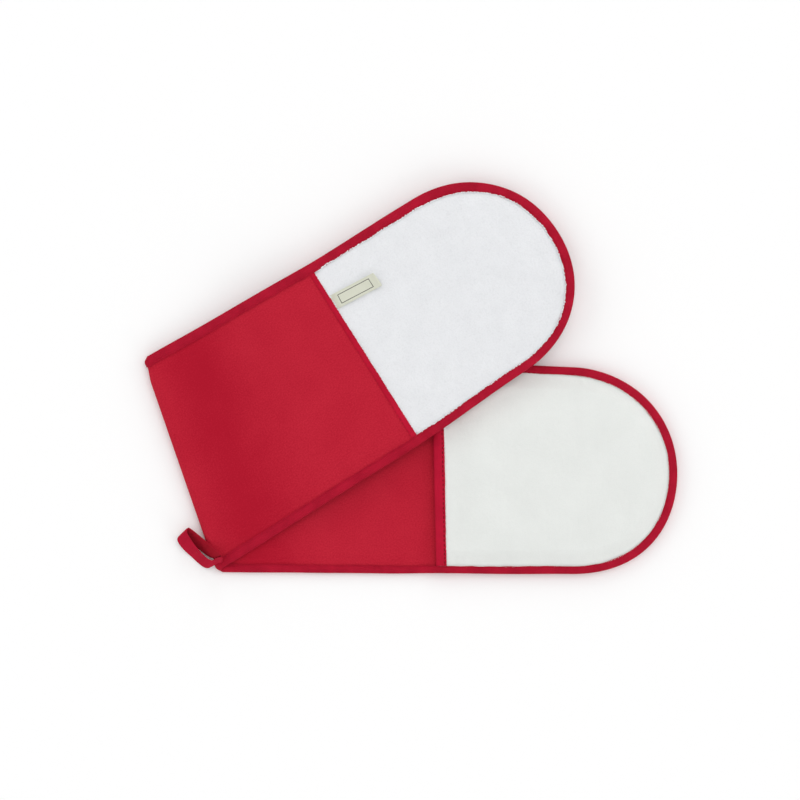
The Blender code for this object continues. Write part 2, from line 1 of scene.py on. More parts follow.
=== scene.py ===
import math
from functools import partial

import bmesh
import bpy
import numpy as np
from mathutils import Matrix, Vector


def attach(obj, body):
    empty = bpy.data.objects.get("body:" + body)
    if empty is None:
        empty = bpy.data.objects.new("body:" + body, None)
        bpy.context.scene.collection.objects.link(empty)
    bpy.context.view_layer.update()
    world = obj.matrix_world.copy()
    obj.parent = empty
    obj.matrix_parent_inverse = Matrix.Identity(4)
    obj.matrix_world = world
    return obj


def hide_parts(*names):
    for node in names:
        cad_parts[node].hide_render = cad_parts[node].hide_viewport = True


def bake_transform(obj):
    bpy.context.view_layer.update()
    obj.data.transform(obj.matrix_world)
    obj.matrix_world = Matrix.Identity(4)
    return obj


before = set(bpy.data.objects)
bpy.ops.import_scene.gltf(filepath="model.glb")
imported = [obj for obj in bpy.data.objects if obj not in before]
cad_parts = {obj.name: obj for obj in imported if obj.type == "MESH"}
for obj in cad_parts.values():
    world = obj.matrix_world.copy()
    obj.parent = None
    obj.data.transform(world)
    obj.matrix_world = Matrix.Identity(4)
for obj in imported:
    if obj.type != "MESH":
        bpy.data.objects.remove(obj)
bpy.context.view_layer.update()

# A double oven glove, folded in half on a slant, as it lies on a table.
# One padded red strip ends in two round white mitts. The lower half lies with
# its hand pocket up, and the upper half lies over it with its towelling palm up.
# Lengths are metres. Along is the distance from the fold, across is the distance
# from the middle line of a half, and deep is the distance in from its outline.

# Plan of the strip
mitt_width = 0.190
fold_edge_length = 0.204
lower_length = 0.4494
upper_length = 0.4024
pocket_length = 0.2207
palm_length = 0.2097
fold_place = (-0.20621, -0.07844)
fold_line_deg = 109.1
bend_start, bend_length = 0.145, 0.060
lower_mitt_deg, upper_mitt_deg = -1.0, 33.8
fold_bulge = 0.0009
corner_round = 0.0050

# Thickness of the sheets, in the middle and where a seam squeezes them
cloth_thick = 0.0006
lining_thick = 0.0005
palm_thick, palm_at_seam = 0.0015, 0.0009
wadding_thick, wadding_at_seam = 0.0018, 0.0007
pocket_lining_thick = 0.0004
filling_thick, filling_at_seam = 0.0009, 0.0004
pocket_thick, pocket_at_seam = 0.0012, 0.0007
tape_thick = 0.0005
gap = 0.0003

# Widths along the edges
tape_width, tape_cut = 0.0080, 0.0205
mouth_tape_width = 0.0087
soft_edge = 0.022
shoulder, shoulder_shape = 0.048, 1.5
crown_reach = 0.060
hem_settle = 0.008
mouth_approach = 0.014
sheet_inset = 0.0006
lip_blend, rim_blend = 0.002, 0.0015

# Drape of the upper half over the lower one
hand_crown = 0.0052
press_margin, press_reach = 0.005, 0.030
upper_lift, lift_start, lift_reach = 0.0104, 0.015, 0.140
rim_drop, rim_drop_start, rim_drop_reach = 0.0050, 0.120, 0.080
tip_droop = 0.0030

# Rows of stitches, and the turned hem of the back cloth
edge_seam_in = 0.0014
mouth_seam_in = 0.0069
hem_width, hem_thick, hem_seam_in = 0.0052, 0.00045, 0.0046
hem_room, hem_blend = 0.00055, 0.010
stitch_pitch, stitch_length, stitch_width = 0.0042, 0.0031, 0.0008
stitch_sink, stitch_dive, stitch_swing = 0.00018, 0.00022, 0.06
row_margin, row_end, path_step = 0.0012, 0.0015, 0.001

# Fullness of the padding over the plain solids, and the waves of the cloth
puff = 0.0009
pocket_puff = 0.0011
wave_height, wave_long, wave_short, short_share = 0.0007, 0.046, 0.021, 0.45
wave_at_edge, wave_reach = 0.25, 0.03
fold_calm = 0.03
hem_pull, hem_pull_out, hem_pull_wide = 0.00035, 0.0010, 0.0024
pucker, pucker_long, pucker_deep, pucker_wide = 0.00022, 0.0065, 0.0115, 0.0045

# Loops of towelling: their height and seed, how much shows on the lower palm, and the dents over them
palm_loops, pocket_loops = (0.00034, 11), (0.00018, 21)
lower_palm_share, loops_stand = 0.3, 0.00045
dent_size, dent_share, pile_start, pile_blend = 0.006, 0.35, 0.006, 0.003

# Cloth simulation of the padding: a skin that grows between its seams, and how far its relief may go
skin_spacing = 0.004
skin_columns, skin_half_width = 48, 0.1
skin_loose, skin_start = 0.02, 0.0002
skin_blur, fold_sewn, seam_sewn = 0.003, 0.004, 0.003
skin_cloth = {
    "quality": 6, "mass": 0.3, "tension_stiffness": 12, "compression_stiffness": 12, "shear_stiffness": 6,
    "bending_stiffness": 8.0, "vertex_group_mass": "seams", "pin_stiffness": 1.0, "shrink_min": -0.010,
    "use_pressure": True, "uniform_pressure_force": 0.5,
}
settle_frames = 20
relief_blend, relief_typical, relief_cap = 0.030, 0.00032, 0.0009

# The mouth lies lower than the crown behind it, and stands a little open at one place across
mouth_share, mouth_rise = 0.36, 0.045
mouth_pit_at, mouth_pit_wide, mouth_pit_lift, mouth_pit_long = -0.077, 0.006, 0.0014, 0.03


def fiftieths(first, last):
    """Distances round an outline, 20 mm apart."""
    return [n / 50 for n in range(first, last + 1)]


# How far the cut wanders outwards from an even outline, in millimetres, at distances round it
# from the fold's top corner
lower_stray = ((0.29, *fiftieths(16, 50)), (
    0.0, -1.1, -1.6, -2.1, -2.5, -2.4, -1.8, -1.3, -0.8, -0.3, 0.2, 1.1, 2.3, 3.4, 3.5, 2.5, 0.8, -0.6,
    -0.7, -0.2, 0.2, 0.4, 0.4, 0.3, 0.4, 1.0, 1.5, 1.5, 1.5, 1.6, 1.8, 1.8, 1.8, 2.1, 2.3, 2.5,
))
upper_stray = (fiftieths(0, 45), (
    1.0, 0.6, 0.2, -0.1, -0.1, 0.1, 0.2, 0.5, 0.6, 0.4, -0.2, -0.5, -0.5, -0.7, -0.9, -1.6, -2.4, -2.2,
    -2.0, -1.9, -1.6, -1.5, -1.8, -1.8, -1.2, -0.4, -0.1, -0.4, -1.1, -2.1, -2.5, -2.5, -2.3, -2.0, -1.6,
    -1.5, -1.8, -2.4, -2.7, -2.8, -2.7, -2.5, -2.3, -1.8, -1.3, -1.1,
))
# Width of the edge tape in millimetres, at distances round the outline
lower_tape_wide = (
    (0.00, 6.1), (0.30, 6.4), (0.35, 6.5), (0.37, 7.0), (0.39, 7.3), (0.43, 7.1), (0.47, 6.9), (0.49, 6.6),
    (0.53, 6.8), (0.57, 6.6), (0.61, 6.4), (0.63, 6.2), (0.69, 6.4), (0.73, 5.6), (0.77, 5.4), (0.81, 5.9),
    (1.01, 6.1),
)
upper_tape_wide = (
    (0.00, 8.0), (0.21, 8.0), (0.25, 8.2), (0.29, 8.7), (0.33, 9.2), (0.37, 8.5), (0.39, 8.1), (0.43, 8.7),
    (0.45, 8.2), (0.49, 7.8), (0.51, 7.7), (0.53, 7.1), (0.57, 6.8), (0.59, 7.5), (0.63, 7.6), (0.92, 8.0),
)
# The hanging tape's upper and lower rim, in millimetres, from the near leg's root round to the far leg's
loop_rims = (
    ((-172.2, -167.9, 8.6), (-173.9, -172.8, 3.0)), ((-172.2, -163.7, 20.6), (-175.4, -169.6, 9.7)),
    ((-177.0, -164.8, 17.0), (-180.3, -172.1, 7.0)), ((-181.2, -167.1, 13.1), (-185.6, -174.7, 3.6)),
    ((-185.5, -165.9, 10.9), (-190.3, -173.7, 1.9)), ((-189.4, -162.7, 10.4), (-195.5, -169.7, 1.4)),
    ((-194.0, -157.7, 10.2), (-201.4, -164.2, 1.8)), ((-198.6, -152.2, 10.1), (-207.0, -159.0, 3.2)),
    ((-202.3, -146.4, 10.3), (-211.3, -153.9, 5.4)), ((-204.7, -141.4, 11.6), (-213.6, -149.5, 7.6)),
    ((-203.7, -137.6, 8.6), (-212.9, -146.4, 6.4)), ((-200.8, -138.9, 9.9), (-207.8, -146.3, 2.0)),
    ((-195.6, -143.0, 8.8), (-202.8, -150.9, 1.6)), ((-190.9, -146.8, 9.3), (-197.7, -155.0, 2.2)),
    ((-186.1, -150.7, 11.0), (-192.8, -158.8, 3.6)), ((-179.3, -156.0, 15.1), (-185.1, -163.9, 6.8)),
    ((-173.5, -161.0, 20.8), (-177.8, -166.8, 10.2)), ((-171.8, -166.6, 8.8), (-173.8, -172.1, 3.4)),
)

half_mitt = mitt_width / 2
tape_stand = tape_thick + gap
tape_over = gap + tape_thick / 2
stitch_over = gap + tape_thick - stitch_sink
strip_height = tape_stand + cloth_thick + gap + wadding_at_seam + gap + lining_thick + tape_stand
fold_axis_height = strip_height + gap + 0.0003
fold_line = np.array([math.cos(math.radians(fold_line_deg)), math.sin(math.radians(fold_line_deg))])
fold_outward = np.array([-fold_line[1], fold_line[0]])


# Camera, straight above the glove with a long lens, and the table

def add_object(name, data):
    made = bpy.data.objects.new(name, data)
    bpy.context.scene.collection.objects.link(made)
    return made


def look_down():
    lens, sensor, shown, middle = 135.0, 36.0, 0.7326, (-0.0097, -0.0205, 0.010)
    data = bpy.data.cameras.new("camera")
    data.lens, data.sensor_width, data.clip_end = lens, sensor, 20
    camera = add_object("camera", data)
    camera.location = (*middle[:2], middle[2] + shown * lens / sensor)
    bpy.context.scene.camera = camera


def soft_sun(name, from_place, spread_deg, strength):
    """A broad, far light, so that its level is the same all over the table."""
    data = bpy.data.lights.new(name, "SUN")
    data.angle = math.radians(spread_deg)
    data.energy = strength
    lamp = add_object(name, data)
    lamp.location = from_place
    lamp.rotation_euler = (-Vector(from_place)).to_track_quat("-Z", "Y").to_euler()


def light_the_table():
    air_strength, high_strength, low_strength = 0.595, 0.62, 0.34
    world = bpy.data.worlds.new("studio_air")
    bpy.context.scene.world = world
    world.use_nodes = True
    air = world.node_tree.nodes["Background"]
    air.inputs["Color"].default_value = (1.0, 1.0, 1.0, 1.0)
    air.inputs["Strength"].default_value = air_strength
    soft_sun("overhead_light", (0.45, 0.7, 1.7), 50, high_strength)
    low_lights, away, low = 6, 2, 0.75
    for i in range(low_lights):
        turn = math.radians(360 / low_lights * i + 20)
        soft_sun(f"low_light_{i}", (away * math.cos(turn), away * math.sin(turn), low), 30, low_strength)


def pale_table():
    below, glow = -0.0001, 0.02
    bpy.ops.mesh.primitive_plane_add(size=12, location=(0, 0, below))
    table = bpy.context.object
    table.name = table.data.name = "table"
    paint = bpy.data.materials.new("pale_table")
    paint.use_nodes = True
    tree = paint.node_tree
    inputs = tree.nodes["Principled BSDF"].inputs
    for label, value in (("Base Color", (0.98, 0.98, 0.98, 1)), ("Roughness", 1.0),
                         ("Specular IOR Level", 0.0), ("Emission Color", (1, 1, 1, 1))):
        inputs[label].default_value = value
    rays = tree.nodes.new("ShaderNodeLightPath").outputs
    seen = math_node(tree, "MAXIMUM", rays["Is Camera Ray"], rays["Is Glossy Ray"])
    seen = math_node(tree, "MAXIMUM", seen, rays["Is Transmission Ray"])
    tree.links.new(math_node(tree, "MULTIPLY", seen, glow), inputs["Emission Strength"])
    table.data.materials.append(paint)


# Nodes of the finishes, and the effects that several finishes share

def feed(tree, value, socket):
    """Gives an input a number or a colour, or links it to another node's output."""
    if isinstance(value, (int, float)):
        socket.default_value = value
    elif isinstance(value, tuple):
        socket.default_value = (*value, 1.0)
    else:
        tree.links.new(value, socket)


def math_node(tree, operation, *values, clamp=False):
    node = tree.nodes.new("ShaderNodeMath")
    node.operation = operation
    node.use_clamp = clamp
    for value, socket in zip(values, node.inputs):
        feed(tree, value, socket)
    return node.outputs[0]


def noise_node(tree, vector, scale, detail=2.0, rough=0.5):
    node = tree.nodes.new("ShaderNodeTexNoise")
    for label, value in (("Detail", detail), ("Roughness", rough), ("Vector", vector), ("Scale", scale)):
        feed(tree, value, node.inputs[label])
    return node.outputs["Fac"]


def mixed(tree, share, low, high):
    node = tree.nodes.new("ShaderNodeMix")
    node.data_type = "RGBA"
    for value, socket in ((share, node.inputs["Factor"]), (low, node.inputs[6]), (high, node.inputs[7])):
        feed(tree, value, socket)
    return node.outputs[2]


def x_and_y(tree, place):
    split = tree.nodes.new("ShaderNodeSeparateXYZ")
    tree.links.new(place, split.inputs[0])
    return split.outputs[0], split.outputs[1]


def new_group(name, *outputs, **inputs):
    """A new effect of a place and some numbers: its tree, two ways to add nodes, its inputs and its outputs."""
    group = bpy.data.node_groups.new(name, "ShaderNodeTree")
    socket = partial(group.interface.new_socket, socket_type="NodeSocketFloat")
    group.interface.new_socket(name="Place", in_out="INPUT", socket_type="NodeSocketVector")
    for label, value in inputs.items():
        socket(name=label.replace("_", " "), in_out="INPUT").default_value = value
    for label in outputs:
        socket(name=label, in_out="OUTPUT")
    come = group.nodes.new("NodeGroupInput").outputs[:len(inputs) + 1]
    go = group.nodes.new("NodeGroupOutput").inputs
    return group, partial(math_node, group), partial(noise_node, group), come, go


def place_group(tree, group, vector, **values):
    node = tree.nodes.new("ShaderNodeGroup")
    node.node_tree = group
    tree.links.new(vector, node.inputs["Place"])
    for label, value in values.items():
        node.inputs[label.replace("_", " ")].default_value = value
    return node


def woven_threads_group():
    """Plain weave: threads across each other, each over one and under the next."""
    group, calc, noise, (place, spacing, uneven), go = new_group(
        "woven_threads", "Height", "Thread Shade", Thread_Spacing=0.0005, Unevenness=0.3)
    wander = calc("MULTIPLY", noise(place, 260.0), uneven)
    turns = calc("DIVIDE", math.pi, spacing)
    warp, weft = (calc("SINE", calc("ADD", calc("MULTIPLY", side, turns), wander))
                  for side in x_and_y(group, place))
    pick = group.nodes.new("ShaderNodeMix")
    pick.data_type = "FLOAT"
    feed(group, calc("GREATER_THAN", calc("MULTIPLY", warp, weft), 0.0), pick.inputs["Factor"])
    feed(group, calc("ABSOLUTE", weft), pick.inputs[2])
    feed(group, calc("ABSOLUTE", warp), pick.inputs[3])
    feed(group, pick.outputs[0], go["Height"])
    # Painted shade where the threads dip at their edges and crossings, mixed with a random slub tone; high values
    # are lighter.
    slub = calc("MULTIPLY", noise(place, 900.0, 3.0, 0.6), 0.5)
    feed(group, calc("MULTIPLY_ADD", pick.outputs[0], 0.5, slub), go["Thread Shade"])
    return group


def looped_pile_group():
    """Looped pile: small round loops close together, each a little apart from the next."""
    group, calc, noise, (place, density, ragged), go = new_group(
        "looped_pile", "Height", "Between Loops", Loops_per_Metre=700.0, Raggedness=0.9)
    cells = group.nodes.new("ShaderNodeTexVoronoi")
    cells.feature = "F1"
    for value, label in ((ragged, "Randomness"), (place, "Vector"), (density, "Scale")):
        feed(group, value, cells.inputs[label])
    away = cells.outputs["Distance"]
    fine = noise(place, calc("MULTIPLY", density, 2.6), 2.0, 0.6)
    round_top = calc("SUBTRACT", 1.0, away, clamp=True)
    feed(group, calc("MULTIPLY_ADD", fine, 0.35, round_top), go["Height"])
    # Painted shade in the hollows between the loops.
    feed(group, calc("POWER", away, 2.2, clamp=True), go["Between Loops"])
    return group


def cloth_tone_group():
    """Slow change of tone over a cloth, in patches and in finer flecks, and a band of painted shade across it at
    one distance along.
    """
    group, calc, noise, come, go = new_group(
        "cloth_tone", "Tone", Patches_per_Metre=22.0, Patch_Depth=2.2, Flecks=0.6, Middle_Tone=0.5,
        Crease_At=0.042, Crease_Width=0.036, Crease_Depth=0.0)
    place, density, patch_depth, flecks, middle, painted_shade_at, painted_shade_width, painted_shade_depth = come
    patches = noise(place, density, 3.0, 0.55)
    fleck = noise(place, calc("MULTIPLY", density, 30.0), 2.0, 0.6)
    tone = calc("MULTIPLY_ADD", calc("SUBTRACT", patches, 0.5), patch_depth, middle)
    tone = calc("MULTIPLY_ADD", calc("SUBTRACT", fleck, 0.5), flecks, tone)
    # A band of painted shade across the cloth, darkest at one distance along it from the fold.
    off = calc("DIVIDE", calc("SUBTRACT", x_and_y(group, place)[0], painted_shade_at), painted_shade_width)
    bell = calc("EXPONENT", calc("MULTIPLY", calc("MULTIPLY", off, off), -1.0))
    feed(group, calc("SUBTRACT", tone, calc("MULTIPLY", bell, painted_shade_depth), clamp=True), go["Tone"])
    return group


def border_line_group():
    """A thin woven border line, an even distance inside a tape's edges."""
    group, calc, _, (place, middle, long, wide, thick), go = new_group(
        "border_line", "Line", Middle=0.0, Half_Long=0.015, Half_Wide=0.004, Thick=0.0004)
    x, y = x_and_y(group, place)
    beyond = calc("SUBTRACT", calc("ABSOLUTE", calc("SUBTRACT", x, middle)), long)
    aside = calc("SUBTRACT", calc("ABSOLUTE", y), wide)
    off = calc("ABSOLUTE", calc("MAXIMUM", beyond, aside))
    feed(group, calc("LESS_THAN", off, calc("MULTIPLY", thick, 0.5)), go["Line"])
    return group


def add_border(made, colour, **values):
    """Weaves a border line into a tape's finish."""
    tree = made.node_tree
    socket = tree.nodes["Principled BSDF"].inputs["Base Color"]
    before = socket.links[0].from_socket
    place = next(n for n in tree.nodes if n.type == "UVMAP").outputs[0]
    line = place_group(tree, groups["border_line"], place, **values)
    tree.links.new(mixed(tree, line.outputs["Line"], before, colour), socket)


def cloth_finish(name, dark, light, kind, spacing, depth, strength, rough=0.85, patches=22.0, patch_depth=2.2,
                 flecks=0.3, painted_hollow_shade=0.22, ragged=0.9, middle=0.5, crease=0.0):
    """A cloth with its weave or pile along the piece's own map, a slow change of tone, painted shade in the
    hollows between its threads or loops, and, where asked, a band of painted shade near the fold.
    """
    made = bpy.data.materials.new(name)
    made.use_nodes = True
    tree = made.node_tree
    inputs = tree.nodes["Principled BSDF"].inputs
    inputs["Roughness"].default_value = rough
    inputs["Specular IOR Level"].default_value = 0.12
    cut_map = tree.nodes.new("ShaderNodeUVMap")
    cut_map.uv_map = "cut"
    place = cut_map.outputs[0]
    # crease sets how deep the band of painted shade near the fold is.
    tone = place_group(tree, groups["cloth_tone"], place, Patches_per_Metre=patches, Patch_Depth=patch_depth,
                       Flecks=2.2 * flecks, Middle_Tone=middle, Crease_Depth=crease)
    base = mixed(tree, tone.outputs["Tone"], dark, light)
    if kind == "woven":
        pattern = place_group(tree, groups["woven_threads"], place, Thread_Spacing=spacing)
        shade = math_node(tree, "SUBTRACT", 1.0, pattern.outputs["Thread Shade"], clamp=True)
    else:
        pattern = place_group(tree, groups["looped_pile"], place, Loops_per_Metre=1.0 / spacing, Raggedness=ragged)
        shade = pattern.outputs["Between Loops"]
    # Painted shade in the hollows between threads or loops: the cloth's darkest tone, made darker still, is mixed
    # in where the pattern dips.
    between = tuple(c * 0.45 for c in dark)
    shaded = math_node(tree, "MULTIPLY", shade, painted_hollow_shade)
    tree.links.new(mixed(tree, shaded, base, between), inputs["Base Color"])
    bump = tree.nodes.new("ShaderNodeBump")
    for label, value in (("Strength", strength), ("Distance", depth), ("Height", pattern.outputs["Height"])):
        feed(tree, value, bump.inputs[label])
    tree.links.new(bump.outputs[0], inputs["Normal"])
    return made


# Helpers of the shapes

def smooth(share):
    share = np.clip(share, 0.0, 1.0)
    return share * share * (3 - 2 * share)


def mix(low, high, share):
    return low + (high - low) * share


def chance(seed):
    return np.random.default_rng(seed)


def bell(off, wide):
    """1 in the middle, falling smoothly to 0 on both sides."""
    return np.exp(-((off / wide) ** 2))


def ripple(place, size, seed):
    """Smooth random values from -1 to 1 along a line, a new one every size metres."""
    table = chance(seed).uniform(-1, 1, 4096)
    x = np.asarray(place) / size + 2000
    i = np.floor(x).astype(int)
    return mix(table[i % 4096], table[(i + 1) % 4096], smooth(x - i))


def mottle(x, y, size, seed):
    """Smooth random values from -1 to 1 over a plane, a new one every size metres."""
    table = chance(seed).uniform(-1, 1, (256, 256))
    x, y = np.asarray(x) / size + 100, np.asarray(y) / size + 100
    i, j = np.floor(x).astype(int), np.floor(y).astype(int)
    p, q = smooth(x - i), smooth(y - j)
    i, j, k, l = i % 256, j % 256, (i + 1) % 256, (j + 1) % 256
    return mix(mix(table[i, j], table[k, j], p), mix(table[i, l], table[k, l], p), q)


class Half:
    """One half of the strip: its plan, and the heights of its sheets at any place."""

    def __init__(self, name, length, strip_deg, mitt_deg, seam_skew_deg, upper, tape_wide, stray):
        self.name = name
        self.body = name + "_half"
        self.upper = upper
        self.tape_wide = np.array(tape_wide).T
        self.relief = None
        self.length = length
        self.strip_heading, self.mitt_heading = math.radians(strip_deg), math.radians(mitt_deg)
        fold_turn = math.radians(fold_line_deg - 90 - strip_deg)
        self.fold_skew = -math.tan(fold_turn)
        self.seam_skew = -math.tan(math.radians(seam_skew_deg))
        self.fold_half_width = fold_edge_length / 2 * math.cos(fold_turn)
        self.mouth = length - pocket_length
        self.seam = length - palm_length
        self.centre = length - half_mitt
        self.round_length = 2 * self.centre + math.pi * half_mitt

        # The middle line, which bends a little between strip and mitt
        edges = np.linspace(0, length, 2001)
        middles = (edges[1:] + edges[:-1]) / 2
        step = edges[1]
        self.line_at = edges
        self.line_x, self.line_y = (
            np.concatenate([[0], np.cumsum(part(self.heading(middles)) * step)]) + start
            for part, start in zip((np.cos, np.sin), fold_place))

        # The outline's wander, evened out over 20 of its places either way
        reach, spreads = 20, 2.5
        self.stray_at = np.linspace(0, self.round_length, 900)
        rough = np.interp(self.stray_at, *stray) / 1000
        share = np.exp(-np.linspace(-spreads, spreads, 2 * reach + 1) ** 2 / 2)
        self.stray_by = np.convolve(np.pad(rough, reach, mode="edge"), share / share.sum(), mode="valid")

    def tape(self, way):
        """Width of the edge tape that far round the outline."""
        return np.interp(way, *self.tape_wide) / 1000

    def heading(self, s):
        return mix(self.strip_heading, self.mitt_heading, smooth((s - bend_start) / bend_length))

    def half_width(self, s):
        return mix(self.fold_half_width, half_mitt, smooth(s / self.centre))

    def skew(self, s):
        to_seam = mix(self.fold_skew, self.seam_skew, smooth(s / self.seam))
        return mix(to_seam, 0.0, smooth((s - self.seam) / (self.centre - self.seam)))

    def plan(self, s, a):
        """World x and y of the place s along and a across."""
        by = np.interp(self.way(s, a), self.stray_at, self.stray_by)
        in_tip = s > self.centre
        radius = np.maximum(np.hypot(s - self.centre, a), 1e-9)
        reach = np.where(in_tip, radius / half_mitt, np.abs(a) / self.half_width(s))
        by = by * reach ** 1.5
        a = a + by * np.where(in_tip, a / radius, np.sign(a))
        s = s + by * np.where(in_tip, (s - self.centre) / radius, 0.0)
        turn = self.heading(s)
        x = np.interp(s, self.line_at, self.line_x)
        y = np.interp(s, self.line_at, self.line_y)
        past = np.maximum(s - self.length, 0.0) + np.minimum(s, 0.0)
        ahead = self.skew(s) * a + past
        return x + np.cos(turn) * ahead - np.sin(turn) * a, y + np.sin(turn) * ahead + np.cos(turn) * a

    def measure(self, x, y):
        """How far along and across the mitt a point of the plan lies."""
        x0, y0 = (np.interp(self.mouth, self.line_at, line) for line in (self.line_x, self.line_y))
        c, n = math.cos(self.mitt_heading), math.sin(self.mitt_heading)
        return self.mouth + (x - x0) * c + (y - y0) * n, -(x - x0) * n + (y - y0) * c

    def deep(self, s, a):
        """How far in from the outline the place lies."""
        straight = self.half_width(s) - np.abs(a)
        round_end = half_mitt - np.hypot(s - self.centre, a)
        return np.where(s > self.centre, round_end, straight)

    def way(self, s, a):
        """How far round the outline from the fold's top corner the place lies."""
        tip = self.centre + (math.pi / 2 - np.arctan2(a, s - self.centre)) * half_mitt
        return np.where(s > self.centre, tip, np.where(a > 0, s, self.round_length - s))

    def round_place(self, way, deep):
        """Along and across of the place that far round the outline and that deep inside it."""
        left = way < self.centre
        tip = (way >= self.centre) & (way <= self.centre + math.pi * half_mitt)
        turn = math.pi / 2 - np.clip((way - self.centre) / half_mitt, 0, math.pi)
        s = np.where(left, way, self.round_length - way)
        side = np.where(left, 1.0, -1.0)
        along = np.where(tip, self.centre + (half_mitt - deep) * np.cos(turn), s)
        across = np.where(tip, (half_mitt - deep) * np.sin(turn), side * (self.half_width(s) - deep))
        return along, across

    def press(self, s, a):
        """0 where the other half lies on the mitt or under it, and 1 well clear of it."""
        along, across = self.other.measure(*self.plan(s, a))
        if self.upper:
            clear = np.maximum(self.other.mouth - along, across - half_mitt)
        else:
            clear = -across - half_mitt
        return smooth((clear - press_margin) / press_reach)

    def layers(self, s, a):
        """Lower and upper height of each sheet, measured inwards from the outer face."""
        d = np.maximum(self.deep(s, a), 0.0)
        swell = smooth((d - tape_width) / (soft_edge - tape_width))
        stand = tape_stand * (1 - swell)
        if not self.upper:
            from_hem = smooth((s - self.seam + hem_width + hem_blend) / hem_blend)
            stand = stand + hem_room * from_hem * (1 - smooth((s - self.seam - 0.001) / hem_blend)) * swell
        in_mitt = smooth((s - self.mouth + mouth_approach) / mouth_approach)
        past_hem = smooth((s - self.seam) / hem_settle)
        palm = mix(palm_at_seam, palm_thick, swell)
        wadding = mix(wadding_at_seam, wadding_thick, swell)
        wadding = np.maximum(wadding - (cloth_thick + gap) * in_mitt * (1 - past_hem), wadding_at_seam)
        out = -puff * swell if self.upper else 0.0 * swell
        found = {"back_cloth": (stand + out, stand + out + cloth_thick)}
        under_hem = stand + out + (cloth_thick + gap) * (1 - past_hem)
        found["palm_towelling"] = (under_hem, under_hem + palm)
        base = stand + (cloth_thick + gap) * (1 - past_hem) + (palm + gap) * in_mitt
        found["wadding"] = (base + out, base + wadding)
        lining = base + wadding + gap
        if not self.upper:
            lining = lining + pocket_puff * swell * (1 - in_mitt) * smooth(s / fold_calm)
        found["lining_cloth"] = (lining, lining + lining_thick)
        at_mouth = np.maximum(s, self.mouth + mouth_tape_width)
        arch = np.sin(np.minimum(d / crown_reach, 1.0) * math.pi / 2)
        opened = mix(mouth_share, 1.0, smooth((s - self.mouth) / mouth_rise))
        space = gap + hand_crown * arch * self.press(at_mouth, a) * opened
        if not self.upper:
            pit = bell(a - mouth_pit_at, mouth_pit_wide)
            space = space + mouth_pit_lift * pit * (1 - smooth((s - self.mouth) / mouth_pit_long))
        near_mouth = smooth((self.mouth + mouth_tape_width + lip_blend - s) / lip_blend)
        inside_tape = smooth((d - tape_width + rim_blend) / rim_blend)
        space = mix(space, np.maximum(space, tape_thick + 2 * gap), near_mouth * inside_tape)
        h = lining + lining_thick + space
        found["pocket_lining"] = (h, h + pocket_lining_thick)
        h = h + pocket_lining_thick + gap
        filling = mix(filling_at_seam, filling_thick, swell) + pocket_puff * swell
        found["pocket_wadding"] = (h, h + filling)
        h = h + filling + gap
        found["pocket_face"] = (h, h + mix(pocket_at_seam, pocket_thick, swell))
        return found

    def back_height(self, s, a):
        """Height of the upper half's outer face over the table."""
        d = np.maximum(self.deep(s, a), 0.0)
        share = a / np.where(s > self.centre, half_mitt, self.half_width(s))
        height = 2 * fold_axis_height + upper_lift * smooth((s - lift_start) / lift_reach)
        free_side = smooth((share + 0.6) / 0.8)
        rim = np.maximum(1 - d / shoulder, 0.0) ** shoulder_shape
        height = height - rim_drop * rim * free_side * smooth((s - rim_drop_start) / rim_drop_reach)
        return height - tip_droop * smooth((s - self.centre) / half_mitt)

    def relief_at(self, s, a):
        """Height of the settled padding's relief at a place."""
        i, j = (np.clip(np.asarray(place) / skin_spacing, 0, count - 1.001)
                for place, count in zip((s, np.asarray(a) + skin_half_width), self.relief.shape))
        p, q = i.astype(int), j.astype(int)
        i, j = i - p, j - q
        near = mix(self.relief[p, q], self.relief[p, q + 1], j)
        return mix(near, mix(self.relief[p + 1, q], self.relief[p + 1, q + 1], j), i)

    def wave(self, s, a):
        """Soft waves of the padded cloth, in metres of height."""
        d = np.maximum(self.deep(s, a), 0.0)
        seed = 40 if self.upper else 60
        if self.relief is None:
            short = short_share * mottle(s, a, wave_short, seed + 1)
            slow = wave_height * (mottle(s, a, wave_long, seed) + short)
        else:
            slow = self.relief_at(s, a)
        inside = mix(wave_at_edge, 1.0, smooth((d - tape_width) / wave_reach))
        puckers = pucker * ripple(self.way(s, a), pucker_long, seed + 2)
        puckers = puckers * bell(d - pucker_deep, pucker_wide)
        if self.upper:
            rest = -hem_pull * bell(s - self.seam + hem_width + hem_pull_out, hem_pull_wide)
        else:
            rest = wave_height
        return (slow * inside + puckers + rest) * smooth(s / fold_calm)

    def point(self, s, a, height):
        """World points of the place whose height is measured inwards from the outer face."""
        x, y = self.plan(s, a)
        lift = self.wave(s, a)
        if self.upper:
            z = self.back_height(s, a) - height + lift
        else:
            z = np.maximum(height + np.maximum(lift, 0.0) * smooth(height / 0.003), 0.0)
        return np.stack([x, y, z], axis=-1)

    def stack(self, s, a, face):
        """Height of the outer (-1) or the inner (1) face of all the sheets together."""
        found = self.layers(s, a)
        if face < 0:
            return np.where(s <= self.seam, found["back_cloth"][0], found["palm_towelling"][0])
        return np.where(s >= self.mouth - 0.0005, found["pocket_face"][1], found["lining_cloth"][1])


def at_fold(half, v):
    """Along and across of a share of the fold's half width."""
    return 0.0 * v, v * half.fold_half_width


